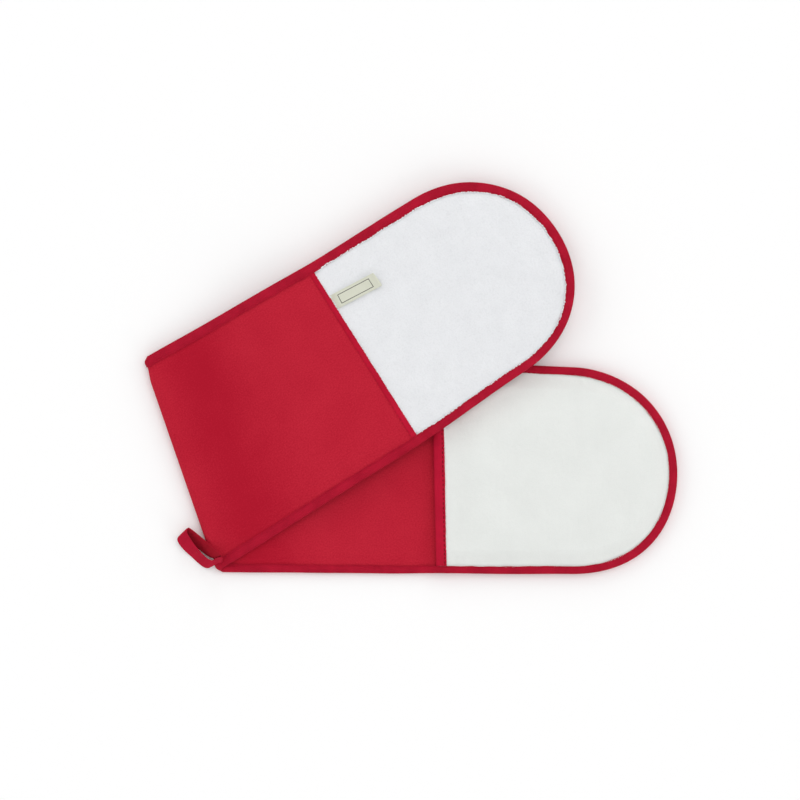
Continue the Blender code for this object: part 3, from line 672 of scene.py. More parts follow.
def fold_points(v, turn, height):
    """Points of the roll round the fold, from the lower half's outer face to the upper's."""
    share = smooth(turn / math.pi)
    x, y = (mix(one, two, share) for one, two in zip(*(half.plan(*at_fold(half, v)) for half in (lower, upper))))
    radius = fold_axis_height - height
    from_corner = np.clip((1 - np.abs(v)) * lower.fold_half_width / corner_round, 0, 1)
    full = mix(0.45, 1.0, np.sqrt(1 - (1 - from_corner) ** 2))
    out = radius * (1 + fold_bulge / fold_axis_height) * np.sin(turn) * full
    z = np.maximum(fold_axis_height - radius * np.cos(turn), 0.0)
    return np.stack([x + fold_outward[0] * out, y + fold_outward[1] * out, z], axis=-1)


def fold_heights(node, v, turn):
    """Heights of a sheet in the roll, which pass from the lower half's to the upper's."""
    one, two = (half.layers(*at_fold(half, v))[node] for half in (lower, upper))
    share = smooth(turn / math.pi)
    return mix(one[0], two[0], share), mix(one[1], two[1], share)


# Making pieces

def corners_of(mesh):
    spots = np.empty(len(mesh.vertices) * 3)
    mesh.vertices.foreach_get("co", spots)
    return spots.reshape(-1, 3)


def grid_piece(name, rows, columns):
    """A flat grid of its own, with each point's share along (0 to 1) and across (-1 to 1)."""
    bpy.ops.mesh.primitive_grid_add(x_subdivisions=rows, y_subdivisions=columns, size=2, location=(0, 0, 0))
    piece = bpy.context.object
    piece.name = piece.data.name = name
    spots = corners_of(piece.data)
    return piece, (spots[:, 0] + 1) / 2, spots[:, 1]


def give_body(piece, near, far, cut, sharp_deg=40.0):
    """Gives a grid its thickness, puts its two faces in place and keeps its cut as a map."""
    bpy.ops.object.select_all(action="DESELECT")
    piece.select_set(True)
    bpy.context.view_layer.objects.active = piece
    thick = piece.modifiers.new("thickness", "SOLIDIFY")
    thick.thickness = 0.001
    bpy.ops.object.modifier_apply(modifier=thick.name)
    mesh = piece.data
    spots = np.concatenate([near, far])
    assert len(mesh.vertices) == len(spots), piece.name
    mesh.vertices.foreach_set("co", spots.astype(np.float32).ravel())
    mesh.update()
    turn_out(mesh)
    lay_map(mesh, np.concatenate([cut, cut]))
    bpy.ops.object.shade_smooth_by_angle(angle=math.radians(sharp_deg))


def lay_map(mesh, cut):
    while mesh.uv_layers:
        mesh.uv_layers.remove(mesh.uv_layers[0])
    chart = mesh.uv_layers.new(name="cut")
    corners = np.empty(len(mesh.loops), dtype=np.int64)
    mesh.loops.foreach_get("vertex_index", corners)
    chart.data.foreach_set("uv", cut[corners].astype(np.float32).ravel())


def turn_out(mesh):
    shape = bmesh.new()
    shape.from_mesh(mesh)
    bmesh.ops.recalc_face_normals(shape, faces=shape.faces)
    if shape.calc_volume(signed=True) < 0:
        bmesh.ops.reverse_faces(shape, faces=shape.faces)
    shape.to_mesh(mesh)
    shape.free()
    mesh.update()


def dress(piece, finish, body, slot, *nodes):
    """Gives a piece its finish, fixes it to its body's empty or else bakes its place, and hides the model's parts
    it stands for.
    """
    piece.data.materials.clear()
    piece.data.materials.append(finishes[finish])
    if isinstance(body, str):
        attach(piece, body)
    else:
        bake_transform(piece)
    if nodes:
        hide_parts(*nodes)


def spread(half, u, v, first, last, inset):
    """Along and across of a sheet's grid between two distances, or out to the round end."""
    if last is not None:
        s = mix(first, last, u)
        return s, v * (half.half_width(s) - inset)
    straight = half.centre - first
    turn_share = straight / (straight + half_mitt - inset)
    s = first + np.minimum(u / turn_share, 1.0) * straight
    a = v * (half.half_width(s) - inset)
    p = np.maximum(u - turn_share, 0.0) / (1 - turn_share)
    radius = half_mitt - inset
    tip_s = half.centre + radius * p * np.sqrt(1 - v * v / 2)
    tip_a = radius * v * np.sqrt(1 - p * p / 2)
    in_tip = u > turn_share
    return np.where(in_tip, tip_s, s), np.where(in_tip, tip_a, a)


def blurred(field, size):
    """A grid of heights, smoothed over a distance."""
    reach = int(3 * size / skin_spacing)
    share = np.exp(-((np.arange(-reach, reach + 1) * skin_spacing / size) ** 2) / 2)
    share /= share.sum()
    field = np.pad(field, reach, mode="edge")
    for axis in (0, 1):
        field = np.apply_along_axis(lambda line: np.convolve(line, share, mode="valid"), axis, field)
    return field


def settle_padding(half):
    """Lets a skin over the padding swell between its seams by cloth simulation, and keeps its relief."""
    rows = int(half.length / skin_spacing)
    skin, u, v = grid_piece(f"{half.name}_padding_skin", rows, skin_columns)
    s, a = spread(half, u, v, 0.0, None, 0.0)
    seam_line = half.seam if half.upper else half.mouth
    sewn = (half.deep(s, a) < tape_width) | (s < fold_sewn) | (np.abs(s - seam_line) < seam_sewn)
    lift = chance(5 + half.upper).uniform(-skin_start, skin_start, len(s)) * ~sewn
    skin.data.vertices.foreach_set("co", np.column_stack([s, a, lift]).astype(np.float32).ravel())
    skin.data.update()
    seams = skin.vertex_groups.new(name="seams")
    seams.add(np.flatnonzero(sewn).tolist(), 1.0, "REPLACE")
    seams.add(np.flatnonzero(~sewn).tolist(), skin_loose, "REPLACE")
    cloth = skin.modifiers.new("padding", "CLOTH")
    for setting, value in skin_cloth.items():
        setattr(cloth.settings, setting, value)
    cloth.settings.effector_weights.gravity = 0
    cloth.collision_settings.use_collision = False
    for moment in range(1, settle_frames + 1):
        bpy.context.scene.frame_set(moment)
    bpy.ops.object.modifier_apply(modifier=cloth.name)
    heights = corners_of(skin.data)[:, 2]
    bpy.data.objects.remove(skin)
    bpy.context.scene.frame_set(1)
    along = np.arange(0, half.length + skin_spacing, skin_spacing)
    across = np.arange(-skin_half_width, skin_half_width + skin_spacing / 2, skin_spacing)
    near_s, near_a = bell(along[:, None] - s, skin_blur), bell(across[:, None] - a, skin_blur)
    weight = near_s @ near_a.T
    field = np.where(weight > 1e-6, (near_s * heights) @ near_a.T / np.maximum(weight, 1e-6), 0.0)
    field = field - blurred(field, relief_blend)
    field = field * relief_typical / field[weight > 1e-3].std()
    half.relief = relief_cap * np.tanh(field / relief_cap)


def cut_size(half, first, last):
    """Flat width, length and area of a sheet."""
    end = half.centre if last is None else last
    widths = 2 * (half.half_width(np.linspace(first, end, 400)) - sheet_inset)
    area = float(widths.mean() * (end - first))
    length = end - first
    if last is None:
        area += math.pi / 2 * (half_mitt - sheet_inset) ** 2
        length += half_mitt - sheet_inset
    return float(widths.max()), length, area


def sheet_of(half, node, name, finish, slot, first, last, spacing):
    """One sheet of a half, between two distances from the fold."""
    width, length, area = cut_size(half, first, last)
    rows = max(int(length / spacing), 4)
    columns = int(width / spacing) // 2 * 2
    piece, u, v = grid_piece(f"{half.name}_{name}", rows, columns)
    s, a = spread(half, u, v, first, last, sheet_inset)
    low, high = half.layers(s, a)[node]
    if node == "palm_towelling":
        low = low - (1.0 if half.upper else lower_palm_share) * pile(half, s, a, *palm_loops)
    elif node == "pocket_face":
        high = high + pile(half, s, a, *pocket_loops)
    give_body(piece, half.point(s, a, high), half.point(s, a, low), np.stack([s, a], axis=-1))
    dress(piece, finish, half.body, slot, f"{half.name}_{node}")


def pile(half, s, a, height, seed):
    """Uneven loops of towelling, with slow dents over them, which end under the edge tape."""
    loops = chance(seed).uniform(0, 1, len(s)) ** 1.5
    dents = mottle(s, a, dent_size, seed + 1)
    return height * (loops + dent_share * dents) * smooth((half.deep(s, a) - pile_start) / pile_blend + 0.3)


# Tape that folds over an edge: shares of its width on one side, then the nose, then the other side

side_shares = np.array([1.0, 0.93, 0.86, 0.825, 0.79, 0.70, 0.56, 0.42, 0.28, 0.14, 0.04])
nose_turns = np.radians([-62, -38, -13, 13, 38, 62])
nose_stand = 0.0010
tape_ridge, tape_groove, tape_groove_wide = 0.00045, 0.00028, 0.0006

# How fine the edge tape is, and how much of its creases shows under the glove, along it and round its tips
edge_tape_spacing = 0.0014
under_share, along_share, round_share, tip_blend, calm_reach = 0.15, 0.45, 0.75, 0.02, 0.006

# Creases of a tape, each with its height, slant and size, and the wander of its inner edge, with its
# width and size. The last number sets each one's seed apart.
edge_creases, edge_wander = ((0.00013, 0.9, 0.0023, 0), (0.0001, -0.7, 0.0057, 4)), (0.00028, 0.009, 7)
mouth_creases, mouth_wander = ((0.00012, 0.5, 0.0034, 0),), (0.0003, 0.012, 1)


def tape_lines(width, height_at, seam_deep, under=1.0):
    """Depths, heights and ways out of the middle of a tape's cloth, from its inner edge to its outer."""
    low, high = (height_at(0.0, face) + face * tape_over for face in (-1, 1))
    rows = [(share * width, height_at(share * width, -1) - tape_over, -1.0) for share in side_shares]
    rows += [(-nose_stand * math.cos(turn) ** 0.7, (low + high) / 2 + (high - low) / 2 * math.sin(turn),
              math.sin(turn)) for turn in nose_turns]
    rows += [(share * width, height_at(share * width, 1) + tape_over, 1.0) for share in side_shares[::-1]]
    depths, heights, faces = (np.stack(values, axis=-1) for values in zip(*rows))
    share = np.minimum(np.maximum(depths, 0.0) / width * 1.15, 1.0)
    swell = tape_ridge * np.sin(math.pi * share) * np.where(faces < 0, under, 1.0)
    groove = tape_groove * bell(depths - seam_deep, tape_groove_wide)
    return depths, heights + (swell - groove) * faces, faces


def tape_sides(depths, heights, deep, middle):
    """Depths and heights of a tape's two faces, half its thickness out from its middle."""
    d = np.gradient(np.broadcast_to(depths, heights.shape), axis=-1)
    h = np.gradient(heights, axis=-1)
    out = tape_thick / 2 / np.maximum(np.hypot(d, h), 1e-9)
    return (deep - h * out, middle + d * out), (deep + h * out, middle - d * out)


def bridged(line, face, reach):
    """Heights as a taut cloth takes them: the outermost ones nearby, evened out."""
    best = np.minimum if face < 0 else np.maximum
    wide = np.pad(line, reach, mode="edge")
    wide = best.reduce([wide[i:len(wide) - reach + i] for i in range(reach + 1)])
    return np.convolve(wide, np.ones(reach + 1) / (reach + 1), mode="valid")


def uneven_tape(places, depths, width, creases, wander, seed):
    """How high a tape's cloth creases and how far it wanders, at places along it and depths across it."""
    wide = np.maximum(depths, 0) / width
    crease = sum(high * ripple(places + depths * slant, size, seed + apart)
                 for high, slant, size, apart in creases)
    far, size, apart = wander
    return (crease * np.sin(np.pi * np.clip(wide * 0.9 + 0.1, 0, 1)),
            far * ripple(places, size, seed + apart) * wide)


def tape_section(half, way_line):
    """The edge tape's section at each place round the outline: depths and heights of its two faces."""
    under = 1.0 if half.upper else under_share
    depths, heights, faces = tape_lines(
        tape_width, lambda deep, face: half.stack(*half.round_place(way_line, deep), face),
        tape_width - edge_seam_in, under)
    if len(way_line) > 7:
        heights = np.stack([bridged(heights[:, k], faces[k], 6) for k in range(len(faces))], axis=-1)
    places = way_line[:, None]
    crease, wander = uneven_tape(places, depths, tape_width, edge_creases, edge_wander, 71 + 20 * half.upper)
    from_fold = np.minimum(places, half.round_length - places)
    in_tip = smooth((from_fold - half.centre + tip_blend) / (2 * tip_blend))
    calm = smooth(from_fold / calm_reach)
    fitted = np.where(depths > 0, depths * half.tape(places) / tape_width, depths)
    shown = (along_share + round_share * in_tip) * np.where(faces < 0, under, 1.0) * calm
    middle = heights + crease * faces * shown
    return tape_sides(depths, heights, fitted + wander * calm, middle)


def tape_piece(name, half, line, sides, place, width):
    """A tape along a line, from its section's two faces and the place of each of their depths."""
    count, profile = len(line) - 1, sides[0][0].shape[1]
    piece, u, v = grid_piece(name, count, profile - 1)
    row = np.rint(u * count).astype(int)
    column = np.rint((v + 1) / 2 * (profile - 1)).astype(int)
    near, far = (half.point(*place(deep), height)[row, column] for deep, height in sides)
    give_body(piece, near, far, np.stack([line[row], width * column / (profile - 1)], axis=-1), 60.0)
    return piece


def edge_tape(half):
    """The bias tape round a half's outline."""
    way_line = np.linspace(0.0, half.round_length, int(half.round_length / edge_tape_spacing) + 1)
    piece = tape_piece(f"{half.name}_edge_tape", half, way_line, tape_section(half, way_line),
                       lambda deep: half.round_place(way_line[:, None] + 0 * deep, deep), tape_cut)
    dress(piece, "edge_tape_red", half.body, "binding", f"{half.name}_edge_binding")


def mouth_tape(half):
    """The tape over the edge of a pocket's mouth, from side tape to side tape."""
    v_line = np.linspace(1.0, -1.0, 97)
    ends = half.tape(np.where(v_line > 0, half.mouth, half.round_length - half.mouth)) + 0.0001

    def height_at(reach, face):
        s = half.mouth + reach + 0 * v_line
        found = half.layers(s, v_line * (half.half_width(s) - ends))
        return found["pocket_lining"][0] if face < 0 else found["pocket_face"][1]

    def place(deep):
        s = half.mouth + deep
        return s, v_line[:, None] * (half.half_width(s) - ends[:, None])

    depths, heights, faces = tape_lines(mouth_tape_width, height_at, mouth_seam_in)
    across = v_line * half_mitt
    crease, wander = uneven_tape(across[:, None], depths, mouth_tape_width, mouth_creases, mouth_wander,
                                 84 + 20 * half.upper)
    sides = tape_sides(depths, heights, depths + wander, heights + crease * faces)
    piece = tape_piece(f"{half.name}_mouth_tape", half, across, sides, place, 0.021)
    dress(piece, "mouth_tape_red", half.body, "binding", f"{half.name}_mouth_binding")


# Stitches and loops of pile, which are one small shape at many places

def taken_apart(ball):
    """An object's points and faces, once it is removed. The order of a sphere's faces varies between
    runs, so they are sorted."""
    spots = np.array([v.co for v in ball.data.vertices])
    faces = sorted(tuple(face.vertices) for face in ball.data.polygons)
    bpy.data.objects.remove(ball)
    return spots, faces


def stitch_shape(fat=1.0):
    """One stitch: a short round thread that goes down into the cloth at both ends."""
    bpy.ops.mesh.primitive_uv_sphere_add(segments=6, ring_count=5, radius=0.5, rotation=(0, math.pi / 2, 0))
    bpy.ops.object.transform_apply(location=False, rotation=True, scale=False)
    spots, faces = taken_apart(bpy.context.object)
    spots = spots * (stitch_length, stitch_width * fat, stitch_width * 0.8)
    spots[:, 2] -= stitch_dive * (2 * np.abs(spots[:, 0]) / stitch_length) ** 2
    return spots, faces


def tuft_shape():
    """One loop of pile that stands out at an edge, as a small rounded lump."""
    bpy.ops.mesh.primitive_ico_sphere_add(subdivisions=1, radius=0.5)
    return taken_apart(bpy.context.object)


def strew(name, shape, spots, frames):
    """Copies one small shape to many places, as one piece."""
    points, faces = shape
    made = np.einsum("nij,kj->nki", frames, points) + spots[:, None, :]
    made[..., 2] = np.maximum(made[..., 2], 0.0)
    count = len(points)
    all_faces = [tuple(i + n * count for i in face) for n in range(len(spots)) for face in faces]
    mesh = bpy.data.meshes.new(name)
    mesh.from_pydata(made.reshape(-1, 3).tolist(), [], all_faces)
    piece = add_object(name, mesh)
    mesh.shade_smooth()
    lay_map(mesh, made.reshape(-1, 3)[:, :2])
    return piece


def sew(name, path, up, shape, rise):
    """A row of stitches along a path that lies on the cloth."""
    steps = np.linalg.norm(np.diff(path, axis=0), axis=1)
    at = np.concatenate([[0], np.cumsum(steps)])
    count = int(at[-1] / stitch_pitch)
    middles = (np.arange(count) + 0.5) * at[-1] / count

    def along(where):
        return np.stack([np.interp(where, at, path[:, k]) for k in range(3)], axis=-1)

    ahead = along(middles + 0.001) - along(middles - 0.001)
    ahead /= np.linalg.norm(ahead, axis=1)[:, None]
    side = np.cross(np.array([0, 0, up]), ahead)
    side /= np.linalg.norm(side, axis=1)[:, None]
    top = np.cross(ahead, side)
    swing = stitch_swing * chance(len(path)).uniform(-1, 1, count)[:, None]
    frames = np.stack([ahead + side * swing, side - ahead * swing, top], axis=-1)
    return strew(name, shape, along(middles) + top * rise, frames)


def sew_rows(half, kind, rows, shape, rise, finish, *nodes):
    """Rows of stitches as one piece, from each row's path and the side it shows on."""
    made = [sew(f"{half.name}_{kind}_row_{i}", path, up, shape, rise) for i, (path, up) in enumerate(rows)]
    bpy.ops.object.select_all(action="DESELECT")
    for row in made:
        row.select_set(True)
    bpy.context.view_layer.objects.active = piece = made[0]
    if len(made) > 1:
        bpy.ops.object.join()
    piece.name = piece.data.name = f"{half.name}_{kind}_stitches"
    dress(piece, finish, half.body, "thread", *nodes)


def cross_line(half, s, height_of):
    """Points from side tape to side tape at one distance from the fold."""
    v = np.linspace(1, -1, 200)
    a = v * (half.half_width(s) - row_margin - half.tape(np.where(v > 0, s, half.round_length - s)))
    s = s + 0 * a
    return half.point(s, a, height_of(half.layers(s, a)))


def edge_stitches(half):
    """The rows that close the edge tape, one on each face."""
    up = -1.0 if half.upper else 1.0
    way_line = np.arange(row_end, half.round_length - row_end, path_step)
    s, a = half.round_place(way_line, half.tape(way_line) * (1 - edge_seam_in / tape_width))
    rows = []
    for face in (-1.0, 1.0):
        height = half.stack(s, a, face) + face * stitch_over
        rows.append((half.point(s, a, bridged(height, face, 8)), up * face))
    sew_rows(half, "edge", rows, stitch, 0.00005, "red_thread", f"{half.name}_edge_thread")


def mouth_stitches(half):
    """The rows that close the mouth's tape, one outside and one inside the pocket."""
    up = -1.0 if half.upper else 1.0
    s = half.mouth + mouth_seam_in
    rows = ((cross_line(half, s, lambda found: found["pocket_face"][1] + stitch_over), up),
            (cross_line(half, s, lambda found: found["pocket_lining"][0] - stitch_over), -up))
    sew_rows(half, "mouth", rows, thick_stitch, 0.0001, "dark_thread", f"{half.name}_mouth_thread")


def hem_stitches(half):
    """The row that closes the palm's hem, which has a solid on the upper half alone."""
    line = cross_line(half, half.seam - hem_seam_in, lambda found: found["back_cloth"][0] - hem_thick + 0.0001)
    nodes = ["upper_palm_thread"] if half.upper else []
    sew_rows(half, "hem", [(line, 1.0 if half.upper else -1.0)], stitch, 0.00002, "red_thread", *nodes)


def hem_band(half):
    """The back cloth's turned edge, which lies over the towelling's start as a flat band."""
    uneven, uneven_long, past_seam, aside = 0.00012, 0.007, 0.0005, 0.0002
    pull_deep, pull_wide, drop_deep, drop_from, above, below = 0.00022, 0.0005, 0.0006, 0.94, 0.00005, 0.00002
    piece, u, v = grid_piece(f"{half.name}_hem_band", 16, 100)
    s = mix(half.seam - hem_width, half.seam + past_seam, u) + uneven * ripple(v * half_mitt, uneven_long, 91)
    a = v * (half.half_width(s) - aside - half.tape(half.way(s, v)))
    crown = 1 - np.abs(2 * u - 1) ** 5
    pull = pull_deep * bell(half.seam - s - hem_seam_in, pull_wide)
    drop = drop_deep * np.maximum(u - drop_from, 0) / (1 - drop_from)
    low = half.layers(np.minimum(s, half.seam), a)["back_cloth"][0]
    near = half.point(s, a, low - (above + hem_thick * crown - pull) + drop)
    far = half.point(s, a, low + below + drop)
    give_body(piece, near, far, np.stack([s, a], axis=-1), 60.0)
    dress(piece, "hem_red", half.body, "centre_cloth", f"{half.name}_back_cloth")


def tufts(half, name, face, size, finish, slot, node, seed):
    """Loops of pile that poke out over the edge tape and along the hem or mouth."""
    rng = chance(seed)
    spacing, jitter = 0.0011, 0.4
    first = half.seam if face < 0 else half.mouth + mouth_tape_width
    way_line = np.arange(first + 0.003, half.round_length - first - 0.003, spacing)
    way_line = way_line + rng.uniform(-jitter, jitter, len(way_line)) * spacing
    poke = rng.uniform(-0.3, 0.35, len(way_line)) - 0.4 * ripple(way_line, 0.009, seed)
    s, a = half.round_place(way_line, half.tape(way_line) + size * poke)
    height = half.stack(s, a, face) + face * (gap + tape_thick * 1.1)
    across = np.arange(-1, 1, spacing / half_mitt * 1.15) * (half_mitt - tape_width - 0.001)
    across = across + rng.uniform(-jitter, jitter, len(across)) * spacing
    along = first + size * rng.uniform(-0.3, 0.6, len(across))
    found = half.layers(along, across)
    over = found["back_cloth"][0] + 0.0003 if face < 0 else found["pocket_face"][1] + gap + tape_thick * 0.6
    spots = np.concatenate([half.point(s, a, height), half.point(along, across, over)])
    count = len(spots)
    angles = rng.uniform(0, 2 * math.pi, count)
    long, wide = size * rng.uniform(0.8, 1.4, count), size * rng.uniform(0.7, 1.1, count)
    tall = size * rng.uniform(0.5, 0.8, count)
    c, n, zero = np.cos(angles), np.sin(angles), 0 * angles
    frames = np.stack([np.stack([c * long, n * long, zero], -1), np.stack([-n * wide, c * wide, zero], -1),
                       np.stack([zero, zero, tall], -1)], axis=-1)
    dress(strew(f"{half.name}_{name}", tuft, spots, frames), finish, half.body, slot, f"{half.name}_{node}")


# The turn round the fold, the hanging loop and the label

def over_fold(low, high):
    """What a piece round the fold moves with, from one height to another."""
    return ("lower_half", "upper_half", (*fold_place, low), (*fold_place, high))


def fold_sheet(node, name, finish, slot):
    """The stretch of a sheet that rolls round the fold."""
    piece, u, v = grid_piece(name, 20, 92)
    inset = sheet_inset / lower.fold_half_width
    v = v * (1 - inset)
    turn = u * math.pi
    low, high = fold_heights(node, v, turn)
    radius = fold_axis_height - float((low + high).mean()) / 2
    cut = np.stack([-(1 - u) * math.pi * radius, v * upper.fold_half_width], axis=-1)
    give_body(piece, fold_points(v, turn, low), fold_points(v, turn, high), cut)
    dress(piece, finish, over_fold(fold_axis_height - radius, fold_axis_height + radius), slot, f"fold_{node}")


def fold_tape(corner, side):
    """The edge tape's turn round one corner of the fold."""
    one, two = (tape_section(half, np.array([0.0 if side > 0 else half.round_length])) for half in (lower, upper))
    profile = one[0][0].shape[1]
    piece, u, v = grid_piece(f"fold_{corner}_tape", 20, profile - 1)
    column = np.rint((v + 1) / 2 * (profile - 1)).astype(int)
    faces = []
    for k in (0, 1):
        deep, height = (mix(one[k][j][0][column], two[k][j][0][column], smooth(u)) for j in (0, 1))
        faces.append(fold_points(side * (1 - deep / lower.fold_half_width), u * math.pi, height))
    cut = np.stack([u * 0.0145, tape_cut * column / (profile - 1)], axis=-1)
    give_body(piece, faces[0], faces[1], cut, 60.0)
    dress(piece, "edge_tape_red", over_fold(0.0, 2 * fold_axis_height), "binding", f"fold_{corner}_binding")


def flow(points, share):
    """A smooth curve through a row of points, at a share of the whole row."""
    points = np.vstack([2 * points[0] - points[1], points, 2 * points[-1] - points[-2]])
    at = np.clip(share * (len(points) - 3), 0, len(points) - 3 - 1e-9)
    i = at.astype(int)
    f = (at - i)[:, None]
    a, b, c, d = (points[i + k] for k in range(4))
    return b + 0.5 * f * (c - a + f * (2 * a - 5 * b + 4 * c - d + f * (3 * (b - c) + d - a)))


def hanging_tape():
    """A folded tape bent into a drop shape, with both its ends sewn in at the fold's corner."""
    tape, thick, step = 0.0125, 0.0012, 0.004
    root, away_deg = np.array([-0.1735, -0.1690, 0.009]), 141.0
    round_from, rim_share, groove_deep, groove_at, groove_wide = 0.86, 0.35, 0.00022, 0.74, 0.05
    high_rim, low_rim = np.array(loop_rims).swapaxes(0, 1) / 1000
    middle_line = (high_rim + low_rim) / 2
    piece, u, v = grid_piece("loop_tape", 110, 12)
    fine = np.linspace(0, 1, 800)
    lengths = np.linalg.norm(np.diff(flow(middle_line, fine), axis=0), axis=1)
    run = np.concatenate([[0], np.cumsum(lengths)])
    share = np.interp(u, run / run[-1], fine)
    high, low = flow(high_rim, share), flow(low_rim, share)
    ahead = flow(middle_line, np.minimum(share + step, 1)) - flow(middle_line, np.maximum(share - step, 0))
    out = np.cross(ahead, high - low)
    out /= np.linalg.norm(out, axis=1)[:, None]
    spot = mix(low, high, ((v + 1) / 2)[:, None])
    rounded = np.sqrt(np.maximum(1 - (np.maximum(np.abs(v) - round_from, 0) / (1 - round_from)) ** 2, 0))
    groove = groove_deep * bell(np.abs(v) - groove_at, groove_wide)
    body = (thick / 2 * mix(rim_share, 1.0, rounded) - groove)[:, None]
    cut = np.stack([u * run[-1], v * tape / 2], axis=-1)
    give_body(piece, spot + out * body, spot - out * body, cut, 50.0)
    away = np.array([math.cos(math.radians(away_deg)), math.sin(math.radians(away_deg)), 0])
    crossing = ("lower_half", "hanging_loop", tuple(root + away * 0.001), tuple(root + away * 0.012))
    dress(piece, "loop_tape_red", crossing, "binding", "hanging_loop")
    # One face of the tape, the loop's inside, gets a darker copy of its red: painted shade.
    piece.data.materials.append(finishes["loop_inside_red"])
    half_count = len(piece.data.vertices) // 2
    for face in piece.data.polygons:
        if max(face.vertices) < half_count:
            face.material_index = 1


def mitt_place(half, x, y):
    """Along and across of a world place near the mitt, found in steps because the skew changes along it."""
    along, across = half.measure(x, y)
    s = along
    for _ in range(8):
        s = along - half.skew(s) * across
    return s, across


def label_tape():
    """A folded woven tape, caught under the red hem and lying on the towelling."""
    length, width, thick, tucked, bend = 0.0446, 0.0140, 0.00030, 0.0035, 0.0008
    foot_place, foot_height, aslant_deg = (-0.06913, 0.06922), 0.01976, 6.2
    end_slant, corner_in, corner_from = 0.0011, 0.0006, 0.8
    curl_up, curl_wave, curl_twist, clear, sunk = 0.0016, 0.0005, 0.0006, 0.00025, 0.0005
    turn = math.radians(upper_mitt_deg - aslant_deg)
    ahead, aside = np.array([math.cos(turn), math.sin(turn)]), np.array([-math.sin(turn), math.cos(turn)])
    piece, u, v = grid_piece("label_fold", 96, 14)

    # The tape goes out, turns over at its end and comes back on top
    run = length + tucked - bend
    whole = 2 * run + math.pi * bend / 2
    place = u * whole
    over = np.clip((place - run) / (whole - 2 * run), 0, 1) * math.pi
    slope, nose = np.cos(over), np.sin(over)
    reach = np.minimum(np.minimum(place, whole - place), run) - tucked + bend / 2 * nose
    lift = bend / 2 * (1 - slope)
    share = np.clip(reach / length, 0, 1)
    slant = -end_slant * v * share ** 4
    soft_corner = -corner_in * np.maximum(np.abs(v) - corner_from, 0) / (1 - corner_from) * share ** 12
    xy = np.array(foot_place) + (reach + slant + soft_corner)[:, None] * ahead + (v * width / 2)[:, None] * aside

    # It lies on the towelling, with its free end curled up a little
    s, a = mitt_place(upper, xy[:, 0], xy[:, 1])
    ground = upper.point(s, a, upper.layers(s, a)["palm_towelling"][0] - loops_stand)[:, 2]
    curl = curl_up * share ** 2 + curl_wave * np.sin(share * 7.0) * share + curl_twist * v * share
    at_hem = smooth((reach + 0.001) / 0.004)
    z = ground + (clear + lift + curl) * at_hem - sunk * (1 - at_hem)
    middle = np.column_stack([xy, z])
    push = np.column_stack([-nose[:, None] * ahead, slope]) * thick / 2
    give_body(piece, middle + push, middle - push, np.stack([place, v * width / 2], axis=-1), 50.0)
    foot = Vector((*foot_place, foot_height))
    end = foot + Vector((*ahead, 0)) * 0.005
    dress(piece, "label_weave", ("upper_half", "label", tuple(foot), tuple(end)), "label_tape", "label")


look_down()
light_the_table()
pale_table()

groups = {group.name: group for group in (
    woven_threads_group(), looped_pile_group(), cloth_tone_group(), border_line_group())}

# Each cloth's darkest and lightest tone, its kind, the spacing and depth of its threads or loops and
# how strongly they show, and where it differs from the usual
cloths = {
    # The red cloth's crease is the depth of its band of painted shade near the fold.
    "red_cloth": ((0.455, 0.0050, 0.0235), (0.605, 0.0205, 0.0450), "woven", 0.0007, 0.00012, 0.5,
                  dict(patches=24.0, patch_depth=0.6, flecks=0.85, painted_hollow_shade=0.24, middle=0.62, crease=0.58)),
    "edge_tape_red": ((0.385, 0.0042, 0.0228), (0.530, 0.0085, 0.0350), "woven", 0.0007, 0.00016, 0.7,
                      dict(patches=60.0, flecks=1.0, painted_hollow_shade=0.26)),
    "mouth_tape_red": ((0.45, 0.0048, 0.0280), (0.58, 0.0082, 0.0405), "woven", 0.0006, 0.0001, 0.5,
                       dict(patches=60.0, flecks=0.6)),
    "loop_tape_red": ((0.42, 0.0050, 0.0270), (0.54, 0.0080, 0.0380), "woven", 0.0007, 0.00014, 0.6,
                      dict(patches=70.0, painted_hollow_shade=0.3)),
    "hem_red": ((0.47, 0.0045, 0.0270), (0.59, 0.0085, 0.0390), "woven", 0.0007, 0.00012, 0.5,
                dict(patches=40.0, flecks=0.6)),
    "red_thread": ((0.39, 0.0050, 0.0230), (0.50, 0.0070, 0.0320), "woven", 0.00025, 0.00006, 0.5,
                   dict(rough=0.7)),
    "dark_thread": ((0.16, 0.0020, 0.0080), (0.24, 0.0030, 0.0120), "woven", 0.00025, 0.00006, 0.5,
                    dict(rough=0.7)),
    # The next cloth is a darker copy of the loop tape's red, painted shade for the loop's inside.
    "loop_inside_red": ((0.33, 0.0037, 0.0150), (0.43, 0.0058, 0.0230), "woven", 0.0007, 0.00014, 0.6,
                        dict(patches=70.0, painted_hollow_shade=0.35)),
    "white_towelling": ((0.81, 0.82, 0.84), (0.85, 0.86, 0.88), "pile", 0.0013, 0.0004, 0.3,
                        dict(rough=1.0, patches=50.0, flecks=0.2, painted_hollow_shade=0.12)),
    "fine_towelling": ((0.80, 0.82, 0.795), (0.835, 0.855, 0.83), "pile", 0.0011, 0.0003, 0.4,
                       dict(rough=1.0, patches=30.0, flecks=0.25, painted_hollow_shade=0.16, ragged=0.35)),
    "pocket_cotton": ((0.78, 0.80, 0.78), (0.82, 0.84, 0.82), "woven", 0.0006, 0.0001, 0.5, dict(rough=0.95)),
    "fleece": ((0.82, 0.81, 0.77), (0.88, 0.87, 0.83), "pile", 0.003, 0.0008, 0.4,
               dict(rough=0.97, painted_hollow_shade=0.15)),
    "label_weave": ((0.715, 0.725, 0.60), (0.775, 0.785, 0.66), "woven", 0.0004, 0.00012, 0.6, dict(rough=0.8)),
}
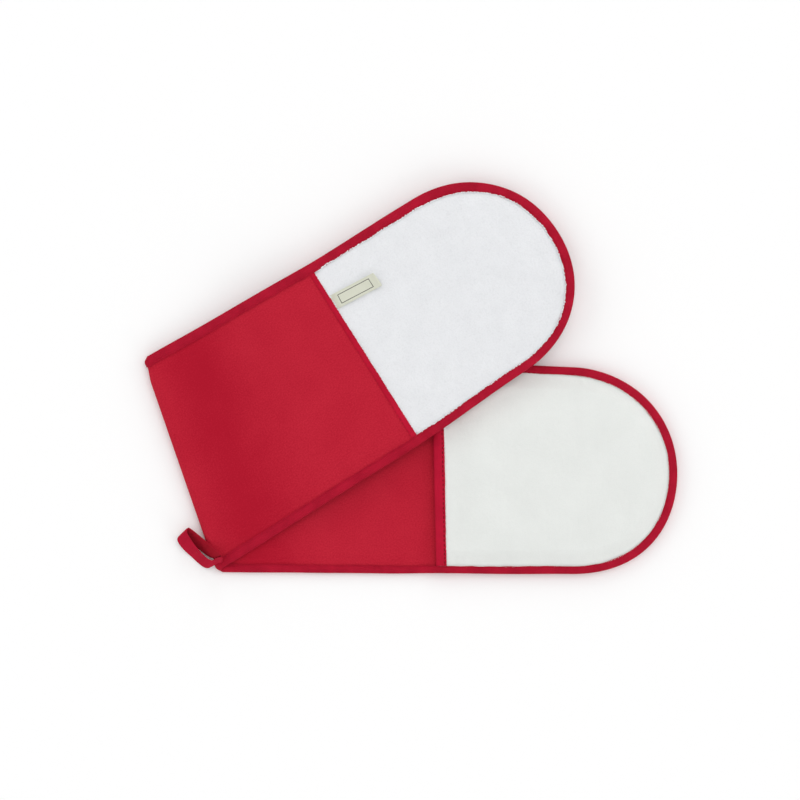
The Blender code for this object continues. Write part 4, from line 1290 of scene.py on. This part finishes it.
finishes = {name: cloth_finish(name, *usual, **own) for name, (*usual, own) in cloths.items()}

# The border lies on the tape's second run, which is the top one
add_border(finishes["label_weave"], (0.06, 0.06, 0.055), Middle=0.0713, Half_Long=0.0160, Half_Wide=0.0042,
           Thick=0.0006)

lower = Half("lower", lower_length, -1.0, lower_mitt_deg, 2.2, False, lower_tape_wide, lower_stray)
upper = Half("upper", upper_length, 30.8, upper_mitt_deg, -1.2, True, upper_tape_wide, upper_stray)
lower.other, upper.other = upper, lower

stitch = stitch_shape()
thick_stitch = stitch_shape(1.35)
tuft = tuft_shape()
for half in (lower, upper):
    settle_padding(half)
for half in (lower, upper):
    for sheet in (
        ("back_cloth", "back_weave", "red_cloth", "centre_cloth", 0.0, half.seam, 0.0022),
        ("palm_towelling", "palm_terry", "white_towelling", "towelling", half.mouth, None, 0.00105),
        ("wadding", "strip_wadding", "fleece", "wadding", 0.0, None, 0.005),
        ("lining_cloth", "lining_weave", "red_cloth", "centre_cloth", 0.0, None, 0.0024),
        ("pocket_lining", "pocket_inside", "pocket_cotton", "pocket_lining", half.mouth, None, 0.0045),
        ("pocket_wadding", "pocket_filling", "fleece", "wadding", half.mouth, None, 0.0045),
        ("pocket_face", "pocket_terry", "fine_towelling", "pocket_cloth", half.mouth, None, 0.0011),
    ):
        sheet_of(half, *sheet)
    hem_band(half)
    edge_tape(half)
    mouth_tape(half)
    edge_stitches(half)
    mouth_stitches(half)
    hem_stitches(half)
    tufts(half, "palm_tufts", -1, 0.0014, "white_towelling", "towelling", "palm_towelling", 31 + half.upper)
    tufts(half, "pocket_tufts", 1, 0.0007, "fine_towelling", "pocket_cloth", "pocket_face", 35 + half.upper)

fold_sheet("back_cloth", "fold_back_weave", "red_cloth", "centre_cloth")
fold_sheet("wadding", "fold_strip_wadding", "fleece", "wadding")
fold_sheet("lining_cloth", "fold_lining_weave", "red_cloth", "centre_cloth")
fold_tape("top", 1.0)
fold_tape("bottom", -1.0)
hanging_tape()
label_tape()

bpy.context.scene.view_settings.view_transform = "Standard"
